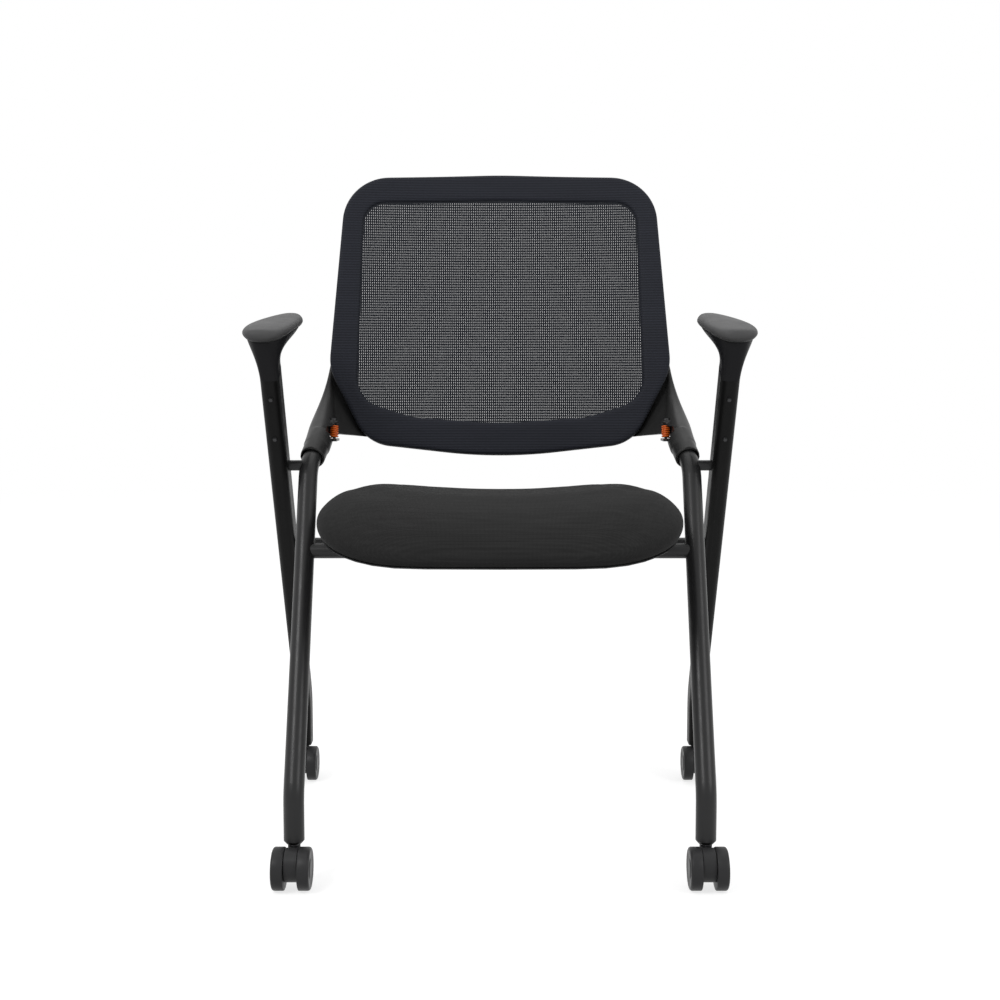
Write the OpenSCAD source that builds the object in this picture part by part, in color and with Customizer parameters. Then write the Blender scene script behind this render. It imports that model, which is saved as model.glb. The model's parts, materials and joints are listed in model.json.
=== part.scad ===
// Nesting chair: a fixed frame of crossed legs on twin-wheel casters, a seat
// that flips up about the rear cross bar, and a sprung mesh backrest.
// +Z is up, the sitter faces -Y, and +X is the sitter's left.

/* [Casters] */
// Diameter of a caster wheel
wheel_d = 51; // [46:1:56]
// Width of a caster wheel
wheel_w = 14.5; // [12:0.5:16]
// Width of the caster housing between its wheels
housing_w = 15; // [13:0.5:18]
// Gap between a wheel and the housing
wheel_gap = 0.8; // [0.5:0.1:1.2]
// Diameter of the wheel axle
axle_d = 6; // [5:0.5:7]
// Distance from the stem to the axle
caster_trail = 20; // [16:1:22]
// Height of the tube ends above the floor
foot_z = 54; // [54:1:60]
// Diameter of the caster stem
stem_d = 10; // [8:0.5:11]

/* [Front legs] */
// Distance between the front feet
front_track = 494; // [480:1:510]
// Distance between the front and the rear axles
wheel_base = 465; // [440:1:490]
// Diameter of the round leg tube
leg_d = 25; // [23:0.5:26]
// Wall of the round leg tube
leg_wall = 2; // [1.5:0.5:2.5]
// Height of the knee of the front leg
knee_z = 108; // [100:1:120]
// Backward lean of the front leg
leg_lean = 29.6; // [28:0.1:31]
// Outward turn of the front leg
leg_toe = 2; // [1:0.1:3]
// Radius of the knee bends
knee_r = 50; // [40:1:60]
// Height of the shoulder, where the tube turns back
shoulder_z = 490; // [480:1:500]
// Radius of the shoulder bend
shoulder_r = 60; // [50:1:70]
// Rise of the tube end above the horizontal
end_rise = 31; // [28:1:34]
// Inward turn of the tube end
end_toe = 8.5; // [7:0.5:10]
// Length of the tube from the shoulder corner to its end
end_l = 70; // [66:1:74]

/* [Rear legs] */
// Distance between the rear feet
rear_track = 600; // [590:1:608]
// Width of the oval rail
rail_w = 24; // [22:0.5:26]
// Depth of the oval rail
rail_d = 40; // [34:1:44]
// Corner radius of the oval rail
rail_corner = 8; // [6:0.5:10]
// Wall of the oval rail
rail_wall = 2; // [1.5:0.5:2.5]
// Height of the ankle of the rear leg
ankle_z = 122; // [115:1:130]
// Forward lean of the rear leg
rail_lean = 33.8; // [33:0.1:35]
// Inward turn of the rear leg
rail_toe = 1.7; // [1:0.1:2]
// Height of the upper end of the rail
rail_top_z = 614; // [606:1:622]
// Diameter of the spacers between the crossed legs
spacer_d = 14; // [10:1:16]

/* [Cross bars] */
// Diameter of the cross bars
bar_d = 19; // [17:0.5:21]
// Wall of the cross bars
bar_wall = 1.5; // [1:0.5:2]
// Height of the front bar, which the seat rests on
front_bar_z = 384; // [378:1:385]
// Height of the rear bar, which the seat turns on
rear_bar_z = 377; // [372:1:379]

/* [Seat] */
// Half width of the cushion at its middle
seat_half_w = 217; // [208:1:219]
// Front edge of the seat behind the front axle
seat_front_y = -18; // [-22:1:-10]
// Depth of the seat from front to rear
seat_l = 423; // [410:1:430]
// Height of the seat's flat underside
seat_low_z = 397; // [396:1:400]
// Height of the cushion's middle at the front axle
seat_top_z = 464; // [455:1:470]
// Thickness of the plastic under-shell
shell_t = 3; // [2.5:0.5:4]
// Thickness of the moulded plywood board
board_t = 9; // [7:1:11]
// Thickness of the hinge plates
plate_t = 3; // [2:0.5:4]
// Distance of the hinges from the middle
hinge_x = 100; // [92:1:104]
// Wall of the nylon hinge bush
bush_t = 1.5; // [1:0.5:2]

/* [Backrest] */
// Half width of the mesh frame at its widest
back_half_w = 243; // [238:1:246]
// Height of the top edge
back_top_z = 908; // [895:1:915]
// Height of the bottom edge at its middle
back_low_z = 500.5; // [495:1:505]
// Rearward lean of the backrest
back_lean = 13.3; // [12.5:0.1:14]
// Depth of the backrest's sides behind the front axle, at its bottom edge
back_y = 350; // [346:1:354]
// Hollow of the backrest from side to side
back_dish = 26; // [20:1:32]
// Width of the frame at its sides
rim_side_w = 42; // [38:1:46]
// Width of the frame at the top
rim_top_w = 39; // [34:1:44]
// Width of the frame at the bottom
rim_low_w = 46; // [42:1:50]
// Thickness of the mesh frame
rim_t = 15; // [12:0.5:18]
// Thickness of the knitted cover
cover_t = 1.2; // [1:0.1:1.5]
// Thickness of the net in the window
net_t = 1.6; // [1.2:0.1:2]

/* [Back brackets] */
// Wall of the sleeve at its mouth
sleeve_wall = 2.3; // [2:0.1:3]
// Room round the tube end in the sleeve
sleeve_gap = 1.9; // [1.8:0.1:2.2]
// Length of the tube end inside the sleeve
sleeve_l = 50; // [48:1:51]
// Distance of the tilt pin from the tube's end
pin_set = 25; // [24:1:26]
// Diameter of the tilt pin
pin_d = 6; // [5:0.5:7]
// Thickness of the bracket's wing
wing_t = 10; // [8:0.5:12]
// Outer diameter of the tilt spring
spring_d = 11.5; // [10:0.5:12]
// Diameter of the spring wire
wire_d = 1.7; // [1.4:0.1:1.9]
// Turns of the tilt spring
spring_turns = 5; // [4:1:6]
// Length of the tilt spring
spring_l = 19; // [18:0.5:20]

/* [Armrests] */
// Length of the arm pad
pad_l = 205; // [195:1:215]
// Width of the arm pad
pad_w = 61; // [56:1:64]
// Thickness of the arm pad
pad_t = 17; // [15:0.5:20]
// Upward slope of the pad to the rear
pad_rise = 8; // [7:0.5:9]
// Height of the pad's underside at its front end
pad_z = 650; // [645:1:655]
// Front end of the pad behind the front axle
pad_y = 116; // [112:1:120]

/* [Fasteners] */
// Diameter of the screw heads
head_d = 9; // [7:0.5:10]
// Height of the screw heads
head_t = 2.2; // [1.5:0.1:3]
// Diameter of the screw shanks
shank_d = 4; // [3:0.5:5]

/* [Hidden] */

$fn = 48;
over = 1;
fit = 0.3;
run_gap = 0.05;

frame_black = [0.09, 0.09, 0.10];
plastic_black = [0.11, 0.11, 0.12];
pad_grey = [0.30, 0.30, 0.31];
steel = [0.62, 0.62, 0.64];
cloth_black = [0.10, 0.10, 0.11];
mesh_navy = [0.11, 0.12, 0.15];
wheel_grey = [0.20, 0.20, 0.21];
spring_orange = [0.95, 0.40, 0.08];
plywood_tan = [0.72, 0.56, 0.38];

// Vectors and small helpers
function unit(v) = v / norm(v);
function lerp(a, b, t) = a + (b - a) * t;
function clamp(v, low, high) = max(low, min(high, v));
function ease(t) = t * t * (3 - 2 * t);
function between(u, v) = acos(clamp(u * v, -1, 1));

// Direction that leans from the vertical towards +Y and turns towards +X
function heading(lean, toe) = [sin(toe) * sin(lean), cos(toe) * sin(lean), cos(lean)];

// Places its children with their x and z axes along two given directions
module aligned(origin, x, z) {
    y = cross(z, x);
    multmatrix([
        [x[0], y[0], z[0], origin[0]],
        [x[1], y[1], z[1], origin[1]],
        [x[2], y[2], z[2], origin[2]],
        [0, 0, 0, 1]
    ]) children();
}

// Turns on the part's own origin: the middle of its floor plan
plan_front_y = -wheel_d / 2;
plan_rear_y = wheel_base + caster_trail + rail_d / 2;
plan_y = (plan_front_y + plan_rear_y) / 2;

module placed() {
    translate([0, -plan_y, 0]) children();
}

// The left side is drawn, and the right side is its mirror image
module side(sign) {
    placed() mirror([sign < 0 ? 1 : 0, 0, 0]) children();
}

module both_sides() {
    for (sign = [1, -1]) side(sign) children();
}

// Bend between two directions, with its profile's x pointing out of the curve
module bend(corner, u, v, r) {
    angle = between(u, v);
    inward = unit(v - (u * v) * u);
    start = corner - r * tan(angle / 2) * u;
    aligned(start + r * inward, -inward, cross(u, inward))
        rotate_extrude(angle = angle, $fn = 96) translate([r, 0]) children();
}

module straight(start, end, x) {
    aligned(start, x, unit(end - start)) linear_extrude(norm(end - start)) children();
}

// Straight run of a tube, which laps over the ends of the bends it meets.
// The bends are slimmer by a hair, so their surfaces don't coincide.
lap = 1;
hair = 0.02;

module run(start, end, x) {
    dir = unit(end - start);
    straight(start - lap * dir, end + lap * dir, x) children();
}

// Any unit vector square to a direction
function square_to(u) = unit(cross(u, abs(u[0]) < 0.5 ? [1, 0, 0] : [0, 1, 0]));

// Closed surface through rings of points, fanned shut at both ends.
// The rings run anticlockwise seen from the last ring back to the first.
// From row turned_from on the quads are split the other way, so that a layer's
// upper side is split as its lower side and lies parallel to the next layer.
module loft(rings, turned_from = -1) {
    n = len(rings[0]);
    last = len(rings) - 1;
    rows = turned_from < 0 ? last : turned_from;
    points = concat(
        [for (ring = rings) each ring],
        [middle(rings[0]), middle(rings[last])]
    );
    first_mid = n * len(rings);
    last_mid = first_mid + 1;
    faces = concat(
        [for (i = [0 : last - 1], j = [0 : n - 1]) let (k = (j + 1) % n)
            [i * n + j, (i + 1) * n + (i < rows ? k : j), i * n + k]],
        [for (i = [0 : last - 1], j = [0 : n - 1]) let (k = (j + 1) % n)
            [i * n + (i < rows ? j : k), (i + 1) * n + j, (i + 1) * n + k]],
        [for (j = [0 : n - 1]) [first_mid, j, (j + 1) % n]],
        [for (j = [0 : n - 1]) [last_mid, last * n + (j + 1) % n, last * n + j]]
    );
    polyhedron(points, faces);
}

function middle(ring) = [for (k = [0 : 2]) sum([for (p = ring) p[k]]) / len(ring)];
function sum(list, i = 0, total = 0) = i == len(list) ? total : sum(list, i + 1, total + list[i]);

// Closed surface through rings that come round to the first again
module ring_loft(rings) {
    n = len(rings[0]);
    count = len(rings);
    faces = [for (i = [0 : count - 1], j = [0 : n - 1])
        let (k = (j + 1) % n, m = (i + 1) % count)
        each [[i * n + j, m * n + k, i * n + k], [i * n + j, m * n + j, m * n + k]]];
    polyhedron([for (ring = rings) each ring], faces);
}

// Superellipse value: a squared-off sine or cosine
function squared(v, power) = sign(v) * pow(abs(v), 2 / power);

// Front leg: foot, knee, shoulder and tube end
leg_foot = [front_track / 2, caster_trail, foot_z];
leg_up = heading(leg_lean, leg_toe);
leg_knee = [leg_foot[0], leg_foot[1], knee_z];
leg_shoulder = leg_knee + leg_up * (shoulder_z - knee_z) / leg_up[2];
end_dir = heading(90 - end_rise, -end_toe);
leg_end = leg_shoulder + end_l * end_dir;

function leg_at(z) = leg_knee + leg_up * (z - knee_z) / leg_up[2];

module leg_run(r, extra) {
    knee_set = knee_r * tan(leg_lean / 2);
    shoulder_set = shoulder_r * tan(between(leg_up, end_dir) / 2);
    up = [0, 0, 1];
    run(leg_foot + (lap - extra) * up, leg_knee - knee_set * up, [1, 0, 0]) circle(r);
    bend(leg_knee, up, leg_up, knee_r) circle(r - hair);
    run(leg_knee + knee_set * leg_up, leg_shoulder - shoulder_set * leg_up,
        square_to(leg_up)) circle(r);
    bend(leg_shoulder, leg_up, end_dir, shoulder_r) circle(r - hair);
    run(leg_shoulder + shoulder_set * end_dir, leg_end + (extra - lap) * end_dir,
        square_to(end_dir)) circle(r);
}

// Tilt pin: a cross pin through the tube end, along X
pin_at = leg_end - pin_set * end_dir;
pin_l = leg_d + 2 * sleeve_gap + 2 * sleeve_wall;
pin_y = pin_at[1];
pin_z = pin_at[2];

module pin_bore(r) {
    translate([pin_at[0], pin_y, pin_z]) rotate([0, 90, 0])
        cylinder(r = r, h = pin_l + 2 * leg_d, center = true);
}

module front_leg() {
    color(frame_black) difference() {
        leg_run(leg_d / 2, 0);
        leg_run(leg_d / 2 - leg_wall, over);
        pin_bore(pin_d / 2);
    }
}

// Rear leg: a flat rail from the rear foot up to the armrest
rail_foot = [rear_track / 2, wheel_base + caster_trail, foot_z];
rail_ankle = [rail_foot[0], rail_foot[1], ankle_z];
rail_up = [-sin(rail_toe) * sin(rail_lean), -cos(rail_toe) * sin(rail_lean), cos(rail_lean)];
rail_side = [cos(rail_toe), -sin(rail_toe), 0];
rail_back = -cross(rail_side, rail_up);
ankle_r = rail_d * 1.5;

function rail_at(z) = rail_ankle + rail_up * (z - ankle_z) / rail_up[2];
rail_top = rail_at(rail_top_z);

module rail_profile(inset) {
    r = rail_corner - inset;
    w = rail_w / 2 - rail_corner;
    d = rail_d / 2 - rail_corner;
    for (x = [-d, d], y = [-w, w]) translate([x, y]) circle(r);
    square([2 * (d + r), 2 * w], center = true);
    square([2 * d, 2 * (w + r)], center = true);
}

module rail_run(inset, extra) {
    up = [0, 0, 1];
    ankle_set = ankle_r * tan(rail_lean / 2);
    outward = -unit(rail_up - (up * rail_up) * up);
    outward_up = unit(cross(rail_side, rail_up));
    run(rail_foot + (lap - extra) * up, rail_ankle - ankle_set * up, outward)
        rail_profile(inset);
    bend(rail_ankle, up, rail_up, ankle_r) rail_profile(inset + hair);
    run(rail_ankle + ankle_set * rail_up, rail_top + (extra - lap) * rail_up, -outward_up)
        rail_profile(inset);
}

module rear_leg() {
    color(frame_black) difference() {
        rail_run(0, 0);
        rail_run(rail_wall, over);
        arm_screw_bores();
    }
}

// Spacers where the crossed legs pass each other
cross_share = (rail_ankle[1] - leg_knee[1]
    - rail_up[1] / rail_up[2] * (ankle_z - knee_z))
    / (leg_up[1] / leg_up[2] - rail_up[1] / rail_up[2]);
cross_z = knee_z + cross_share;
leg_cross = leg_at(cross_z);
rail_cross = rail_at(cross_z);

module leg_spacer() {
    color(frame_black) difference() {
        translate(leg_cross) rotate([0, 90, 0])
            cylinder(d = spacer_d, h = rail_cross[0] - leg_cross[0]);
        leg_run(leg_d / 2, 0);
        rail_run(0, 0);
    }
}

// Cross bars, coped into the tubes that they join
module cross_bar(at) {
    difference() {
        translate([-at[0], at[1], at[2]]) rotate([0, 90, 0]) difference() {
            cylinder(d = bar_d, h = 2 * at[0]);
            translate([0, 0, -over]) cylinder(d = bar_d - 2 * bar_wall, h = 2 * at[0] + 2 * over);
        }
        for (sign = [0, 1]) mirror([sign, 0, 0]) children();
    }
}

front_bar_at = leg_at(front_bar_z);
rear_bar_at = rail_at(rear_bar_z);

module front_cross_bar() {
    color(frame_black) placed() cross_bar(front_bar_at) leg_run(leg_d / 2, 0);
}

module rear_cross_bar() {
    color(frame_black) placed() cross_bar(rear_bar_at) rail_run(0, 0);
}

// Plugs in the tube ends, which hold the caster stems
plug_l = 32;
lip_t = 4;
stem_l = foot_z + plug_l - 10;
neck_d = 15;
lip_r = neck_d / 2 + 1.5;

module stem_bore(at, r) {
    translate([at[0], at[1], 0]) cylinder(r = r, h = foot_z + plug_l - 6);
}

module front_leg_plug() {
    color(plastic_black) difference() {
        union() {
            translate(leg_foot) cylinder(d = leg_d - 2 * leg_wall, h = plug_l);
            translate(leg_foot - [0, 0, lip_t]) cylinder(r1 = lip_r, r2 = leg_d / 2, h = lip_t);
        }
        stem_bore(leg_foot, stem_d / 2);
    }
}

module rear_leg_plug() {
    color(plastic_black) difference() {
        union() {
            translate(rail_foot - [0, 0, lip_t / 2]) rotate([0, 0, 90 - rail_toe])
                linear_extrude(plug_l + lip_t / 2) rail_profile(rail_wall);
            translate(rail_foot - [0, 0, lip_t / 2]) rotate([0, 0, 90 - rail_toe])
                linear_extrude(lip_t / 2) rail_profile(0);
            translate(rail_foot - [0, 0, lip_t])
                cylinder(r1 = lip_r, r2 = rail_w / 2, h = lip_t / 2);
            translate(rail_foot - [0, 0, lip_t]) cylinder(r = lip_r, h = lip_t);
        }
        stem_bore(rail_foot, stem_d / 2);
    }
}

// Casters: a stem in each foot, a housing that swivels on it, and two wheels
stem_low_z = wheel_d / 2 + axle_d / 2 + 1.5;
stem_high_z = foot_z + plug_l - 8;
collar_t = 1.5;

module caster_stem(foot) {
    color(steel) translate([foot[0], foot[1], stem_low_z]) {
        cylinder(d = stem_d, h = stem_high_z - stem_low_z);
        translate([0, 0, foot_z - lip_t - collar_t - stem_low_z])
            cylinder(d = neck_d - 2, h = collar_t);
    }
}

// Places a caster's pieces with the axle at the origin and the stem behind it
module at_caster(foot) {
    translate([foot[0], foot[1] - caster_trail, wheel_d / 2]) children();
}

housing_low = 10;
housing_r = (wheel_d - 1 - housing_low) / 2;
housing_mid_z = housing_low + housing_r - wheel_d / 2;
neck_top_z = foot_z - lip_t - collar_t - fit - wheel_d / 2;

module caster_housing() {
    color(plastic_black) difference() {
        union() {
            rotate([90, 0, 90]) linear_extrude(housing_w, center = true) {
                translate([0, housing_mid_z]) circle(housing_r);
                translate([0, -axle_d]) square([caster_trail, axle_d + neck_top_z - axle_d]);
            }
            translate([0, caster_trail, -axle_d]) cylinder(d = neck_d, h = neck_top_z + axle_d);
        }
        rotate([0, 90, 0]) cylinder(d = axle_d, h = housing_w + 2 * over, center = true);
        translate([0, caster_trail, stem_low_z - wheel_d / 2 - over])
            cylinder(d = stem_d + 2 * run_gap, h = wheel_d);
    }
}

axle_l = housing_w + 2 * wheel_gap + 2 * wheel_w - 5;

module caster_axle() {
    color(steel) rotate([0, 90, 0]) cylinder(d = axle_d, h = axle_l, center = true);
}

// Wheel with a flat inner face and a domed outer face, along +X from the housing
tread_w_share = 0.62;
wheel_edge = 1.5;
hub_share = 0.36;
dome_steps = 6;

module caster_wheel() {
    r = wheel_d / 2;
    hub_r = r * hub_share;
    tread_w = wheel_w * tread_w_share;
    dome = [for (i = [0 : dome_steps]) let (a = 90 * i / dome_steps)
        [hub_r + (r - wheel_edge - hub_r) * cos(a), tread_w + (wheel_w - tread_w) * sin(a)]];
    color(wheel_grey) translate([housing_w / 2 + wheel_gap, 0, 0]) rotate([0, 90, 0])
        rotate_extrude($fn = 72) difference() {
            polygon(concat(
                [[0, 0], [r - wheel_edge, 0], [r, wheel_edge], [r, tread_w - wheel_edge]],
                dome, [[0, wheel_w]]
            ));
            translate([-over, -over]) square([axle_d / 2 + run_gap + over, wheel_w - 2 + over]);
            translate([hub_r, -over]) square([r * 0.4, over + wheel_w * 0.3]);
        }
}

// Arm bracket: flares from the rail's section to the underside of the pad
bracket_sides = 28;
bracket_rings = 9;
pad_dir = [0, cos(pad_rise), sin(pad_rise)];
rail_across = unit(cross(rail_side, rail_up));
pad_x = rail_at(pad_z)[0];
plate_l_share = 0.88;
flare_w_share = 0.92;
flare_set_share = 0.035;
socket_l = 102;

function arm_ring(t) =
    let (
        front_low = rail_top - (rail_d / 2) * rail_back,
        front_high = [pad_x + pad_w / 2 - pad_inset, pad_y, pad_z]
            + pad_l * flare_set_share * pad_dir,
        half_l = lerp(rail_d / 2, pad_l * plate_l_share / 2, pow(t, 2.2)),
        half_w = lerp(rail_w / 2, pad_w * flare_w_share / 2, pow(t, 1.9)),
        along = unit(lerp(rail_back, pad_dir, ease(t))),
        power = lerp(5, 2.6, t),
        front = lerp(front_low + run_gap * rail_up, front_high, t),
        across = unit(lerp(rail_side, [1, 0, 0], ease(t))),
        mid = front + half_l * along
    )
    [for (j = [0 : bracket_sides - 1]) let (a = 360 * j / bracket_sides)
        mid + half_w * squared(cos(a), power) * across
            + half_l * squared(sin(a), power) * along];

module arm_bracket() {
    color(plastic_black) difference() {
        union() {
            loft([for (i = [0 : bracket_rings - 1]) arm_ring(i / (bracket_rings - 1))]);
            straight(rail_top - socket_l * rail_up, rail_top + over * rail_up, rail_across)
                rail_profile(rail_wall + fit);
        }
        arm_screw_bores();
    }
}

// Arm pad: a soft-touch paddle with a round nose and a narrower tail
pad_sides = 36;
pad_round_shares = [[0.86, 0], [0.97, 0.16], [1, 0.42], [0.985, 0.68], [0.93, 0.88], [0.80, 0.97]];
pad_tail_share = 0.30;
pad_power = 3.6;
pad_inset = 24.5;
pad_inner_x = pad_x - pad_inset;

function pad_ring(scale, height) =
    [for (j = [0 : pad_sides - 1]) let (
        a = 360 * j / pad_sides,
        along = squared(sin(a), pad_power),
        half_w = pad_w / 2 * (1 - pad_tail_share * pow(max(0, (along + 1) / 2), 1.6)),
        x = half_w * squared(cos(a), pad_power),
        edge = pad_w / 2 * (1 - scale)
    )
        [pad_inner_x + half_w, pad_y, pad_z]
            + x * max(0.25, 1 - edge / half_w) * [1, 0, 0]
            + (pad_l / 2 + (pad_l / 2 - edge) * along) * pad_dir
            + (fit + height * pad_t) * [0, -sin(pad_rise), cos(pad_rise)]];

module arm_pad() {
    color(pad_grey) loft(concat(
        [for (share = pad_round_shares) pad_ring(share[0], share[1])],
        [pad_ring(0.4, 1.05)]
    ));
}

// Screws: a round head on a shank that points along a direction
module screw(at, dir, shank_l, head = head_d) {
    aligned(at, square_to(dir), dir) {
        cylinder(d = shank_d, h = shank_l);
        translate([0, 0, -head_t]) cylinder(d1 = head * 0.8, d2 = head, h = head_t);
    }
}

// Bore for such a screw, with room for its head behind the face it seats on
module screw_bore(at, dir, shank_l, head_room = 0) {
    aligned(at, square_to(dir), dir) {
        translate([0, 0, -over]) cylinder(d = shank_d + 2 * run_gap, h = shank_l + over + fit);
        if (head_room > 0)
            translate([0, 0, -head_room]) cylinder(d = head_d + 2 * fit, h = head_room);
    }
}

// Two screws hold the bracket's tongue from the front of the rail
arm_screw_sets = [28, 90];
arm_head_d = 6;
arm_screw_l = 14;

module arm_screw_pair() {
    color(steel) for (set = arm_screw_sets)
        screw(rail_top - set * rail_up - (rail_d / 2) * rail_back, rail_back, arm_screw_l,
            arm_head_d);
}

module arm_screw_bores() {
    for (set = arm_screw_sets)
        screw_bore(rail_top - set * rail_up - (rail_d / 2) * rail_back, rail_back, arm_screw_l);
}

// Seat: outline, underside and top
seat_mid_y = seat_front_y + seat_l / 2;
seat_power = 4;
seat_taper_share = 0.14;
seat_sides = 44;

function seat_point(a, scale) =
    let (
        along = squared(sin(a), seat_power),
        x = seat_half_w * squared(cos(a), seat_power) * (1 - seat_taper_share * along)
    )
    [x * scale, seat_mid_y + seat_l / 2 * along * scale];

under_flat_share = 0.54;
under_rise = 13;
under_drop = 16;
under_drop_l = 110;
saddle_rise = 22;
seat_fall_share = 0.04;
water_drop = 16;
water_l = 120;

function seat_low(x, y) =
    let (
        out = max(0, abs(x) / seat_half_w - under_flat_share) / (1 - under_flat_share),
        fore = clamp((seat_front_y + under_drop_l - y) / under_drop_l, 0, 1)
    )
    seat_low_z + under_rise * out * out - under_drop * pow(fore, 1.6);

function seat_top(x, y) =
    let (fore = clamp((seat_front_y + water_l - y) / water_l, 0, 1))
    seat_top_z + saddle_rise * pow(x / seat_half_w, 2) - seat_fall_share * y
        - water_drop * fore * fore;

// Ring of the seat at a share of its outline, lifted above the underside
function low_ring(scale, lift) =
    [for (j = [0 : seat_sides - 1]) let (p = seat_point(360 * j / seat_sides, scale))
        [p[0], p[1], seat_low(p[0], p[1]) + lift]];

// Ring of the cushion at a share of its outline and of its height
function cushion_ring(scale, height) =
    [for (j = [0 : seat_sides - 1]) let (
        p = seat_point(360 * j / seat_sides, scale),
        low = seat_low(p[0], p[1]) + cushion_lift
    )
        [p[0], p[1], lerp(low, seat_top(p[0], p[1]), height)]];

shell_edge_share = 0.955;
board_share = 0.80;
pocket_share = 0.812;
board_shares = [0.12, 0.4, 0.62];
shell_shares = [0.12, 0.4, 0.62, board_share, pocket_share, 0.88];
cushion_lift = shell_t + fit;
board_lift = shell_t + fit;
head_sink = 0.1;

module seat_shell() {
    color(plastic_black) difference() {
        placed() loft(concat(
            [for (share = shell_shares) low_ring(share, 0)],
            [low_ring(shell_edge_share - 0.012, 0), low_ring(shell_edge_share, 2),
                low_ring(shell_edge_share - 0.006, shell_t)],
            [for (i = [len(shell_shares) - 1 : -1 : 0]) low_ring(shell_shares[i], shell_t)]
        ), len(shell_shares));
        both_sides() {
            seat_screw_bores();
            shell_screw_bore();
        }
    }
}

module seat_board() {
    color(plywood_tan) difference() {
        placed() loft(concat(
            [for (share = board_shares) low_ring(share, board_lift)],
            [low_ring(board_share, board_lift), low_ring(board_share, board_lift + board_t)],
            [for (i = [len(board_shares) - 1 : -1 : 0])
                low_ring(board_shares[i], board_lift + board_t)]
        ), len(board_shares) + 1);
        both_sides() {
            seat_screw_bores();
            shell_screw_bore();
        }
    }
}

cushion_shares = [
    [0.955, 0], [0.985, 0.10], [1, 0.25], [0.99, 0.41], [0.966, 0.56], [0.93, 0.70],
    [0.88, 0.82], [0.81, 0.92], [0.70, 0.98], [0.50, 1], [0.25, 1]
];

module seat_cushion() {
    pocket = board_lift + board_t + fit;
    color(cloth_black) placed() loft(concat(
        [for (share = board_shares) low_ring(share, pocket)],
        [low_ring(board_share, pocket), low_ring(pocket_share, pocket),
            low_ring(pocket_share, cushion_lift), low_ring(0.88, cushion_lift)],
        [for (share = cushion_shares) cushion_ring(share[0], share[1])]
    ));
}

// Seat hinges: plates under the seat with an eye round the rear bar
eye_w = 22;
eye_wall = 3;
eye_r = bar_d / 2 + bush_t + 2 * run_gap + eye_wall;
plate_front = 60;
plate_rear = 34;

module at_rear_bar() {
    translate([0, rear_bar_at[1], rear_bar_z]) children();
}

module seat_hinge() {
    rise = seat_low_z - rear_bar_z;
    color(frame_black) translate([hinge_x, rear_bar_at[1], rear_bar_z]) difference() {
        union() {
            rotate([0, 90, 0]) cylinder(r = eye_r, h = eye_w, center = true);
            translate([-eye_w / 2, -eye_r, 0]) cube([eye_w, 2 * eye_r, rise - fit]);
            translate([-eye_w, -plate_front, rise - fit - plate_t])
                cube([2 * eye_w, plate_front + plate_rear, plate_t]);
        }
        rotate([0, 90, 0])
            cylinder(r = bar_d / 2 + bush_t + run_gap, h = eye_w + 2 * over, center = true);
        translate([-hinge_x, -rear_bar_at[1], -rear_bar_z]) seat_screw_bores();
    }
}

module hinge_bush() {
    color(pad_grey) translate([hinge_x, rear_bar_at[1], rear_bar_z]) rotate([0, 90, 0])
        difference() {
            cylinder(r = bar_d / 2 + bush_t + run_gap, h = eye_w, center = true);
            cylinder(r = bar_d / 2 + run_gap, h = eye_w + 2 * over, center = true);
        }
}

// Rubber bumpers under the seat, which rest on the front bar
bumper_l = 26;
bumper_w = 30;

module seat_bumper() {
    low = front_bar_z + bar_d / 2 + fit;
    color(plastic_black) translate([hinge_x, front_bar_at[1], low])
        difference() {
            translate([-bumper_w / 2, -bumper_l / 2, 0])
                cube([bumper_w, bumper_l, seat_low_z - fit - low]);
            translate([0, 0, seat_low_z - fit - low - head_t / 2]) cylinder(d = head_d, h = head_t);
        }
}

seat_screw_l = plate_t + shell_t + 2 * fit + board_t * 0.7;
seat_screw_places = [for (y = [-plate_front + head_d, plate_rear - head_d], x = [-1, 1])
    [hinge_x + x * eye_w * 0.72, rear_bar_at[1] + y, seat_low_z - fit - plate_t]];

module seat_screw_set() {
    color(steel) for (at = seat_screw_places) screw(at, [0, 0, 1], seat_screw_l);
}

module seat_screw_bores() {
    for (at = seat_screw_places) screw_bore(at, [0, 0, 1], seat_screw_l);
}

// Screws through the front of the shell into the board
shell_screw_x = 35;
shell_screw_y = seat_front_y + 54;
shell_screw_l = shell_t + fit + board_t * 0.7;
shell_screw_slope = (seat_low(shell_screw_x, shell_screw_y + over)
    - seat_low(shell_screw_x, shell_screw_y - over)) / (2 * over);
shell_screw_dir = unit([0, -shell_screw_slope, 1]);
shell_screw_at = [shell_screw_x, shell_screw_y, seat_low(shell_screw_x, shell_screw_y)]
    - head_sink * shell_screw_dir;

module shell_screw() {
    color(steel) screw(shell_screw_at, shell_screw_dir, shell_screw_l);
}

module shell_screw_bore() {
    screw_bore(shell_screw_at, shell_screw_dir, shell_screw_l, head_t);
}

// Backrest outline, as corners that round off
function corner_arc(a, b, c, r, n) =
    let (
        u = unit(b - a),
        v = unit(c - b),
        turn = between(u, v),
        set = r * tan(turn / 2),
        inward = unit(v - (u * v) * u),
        centre = b - set * u + r * inward
    )
    [for (i = [0 : n]) let (t = turn * i / n) centre - r * cos(t) * inward + r * sin(t) * u];

function rounded(corners, radii, n) =
    let (count = len(corners))
    [for (i = [0 : count - 1])
        each corner_arc(corners[(i + count - 1) % count], corners[i],
            corners[(i + 1) % count], radii[i], n)];

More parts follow.
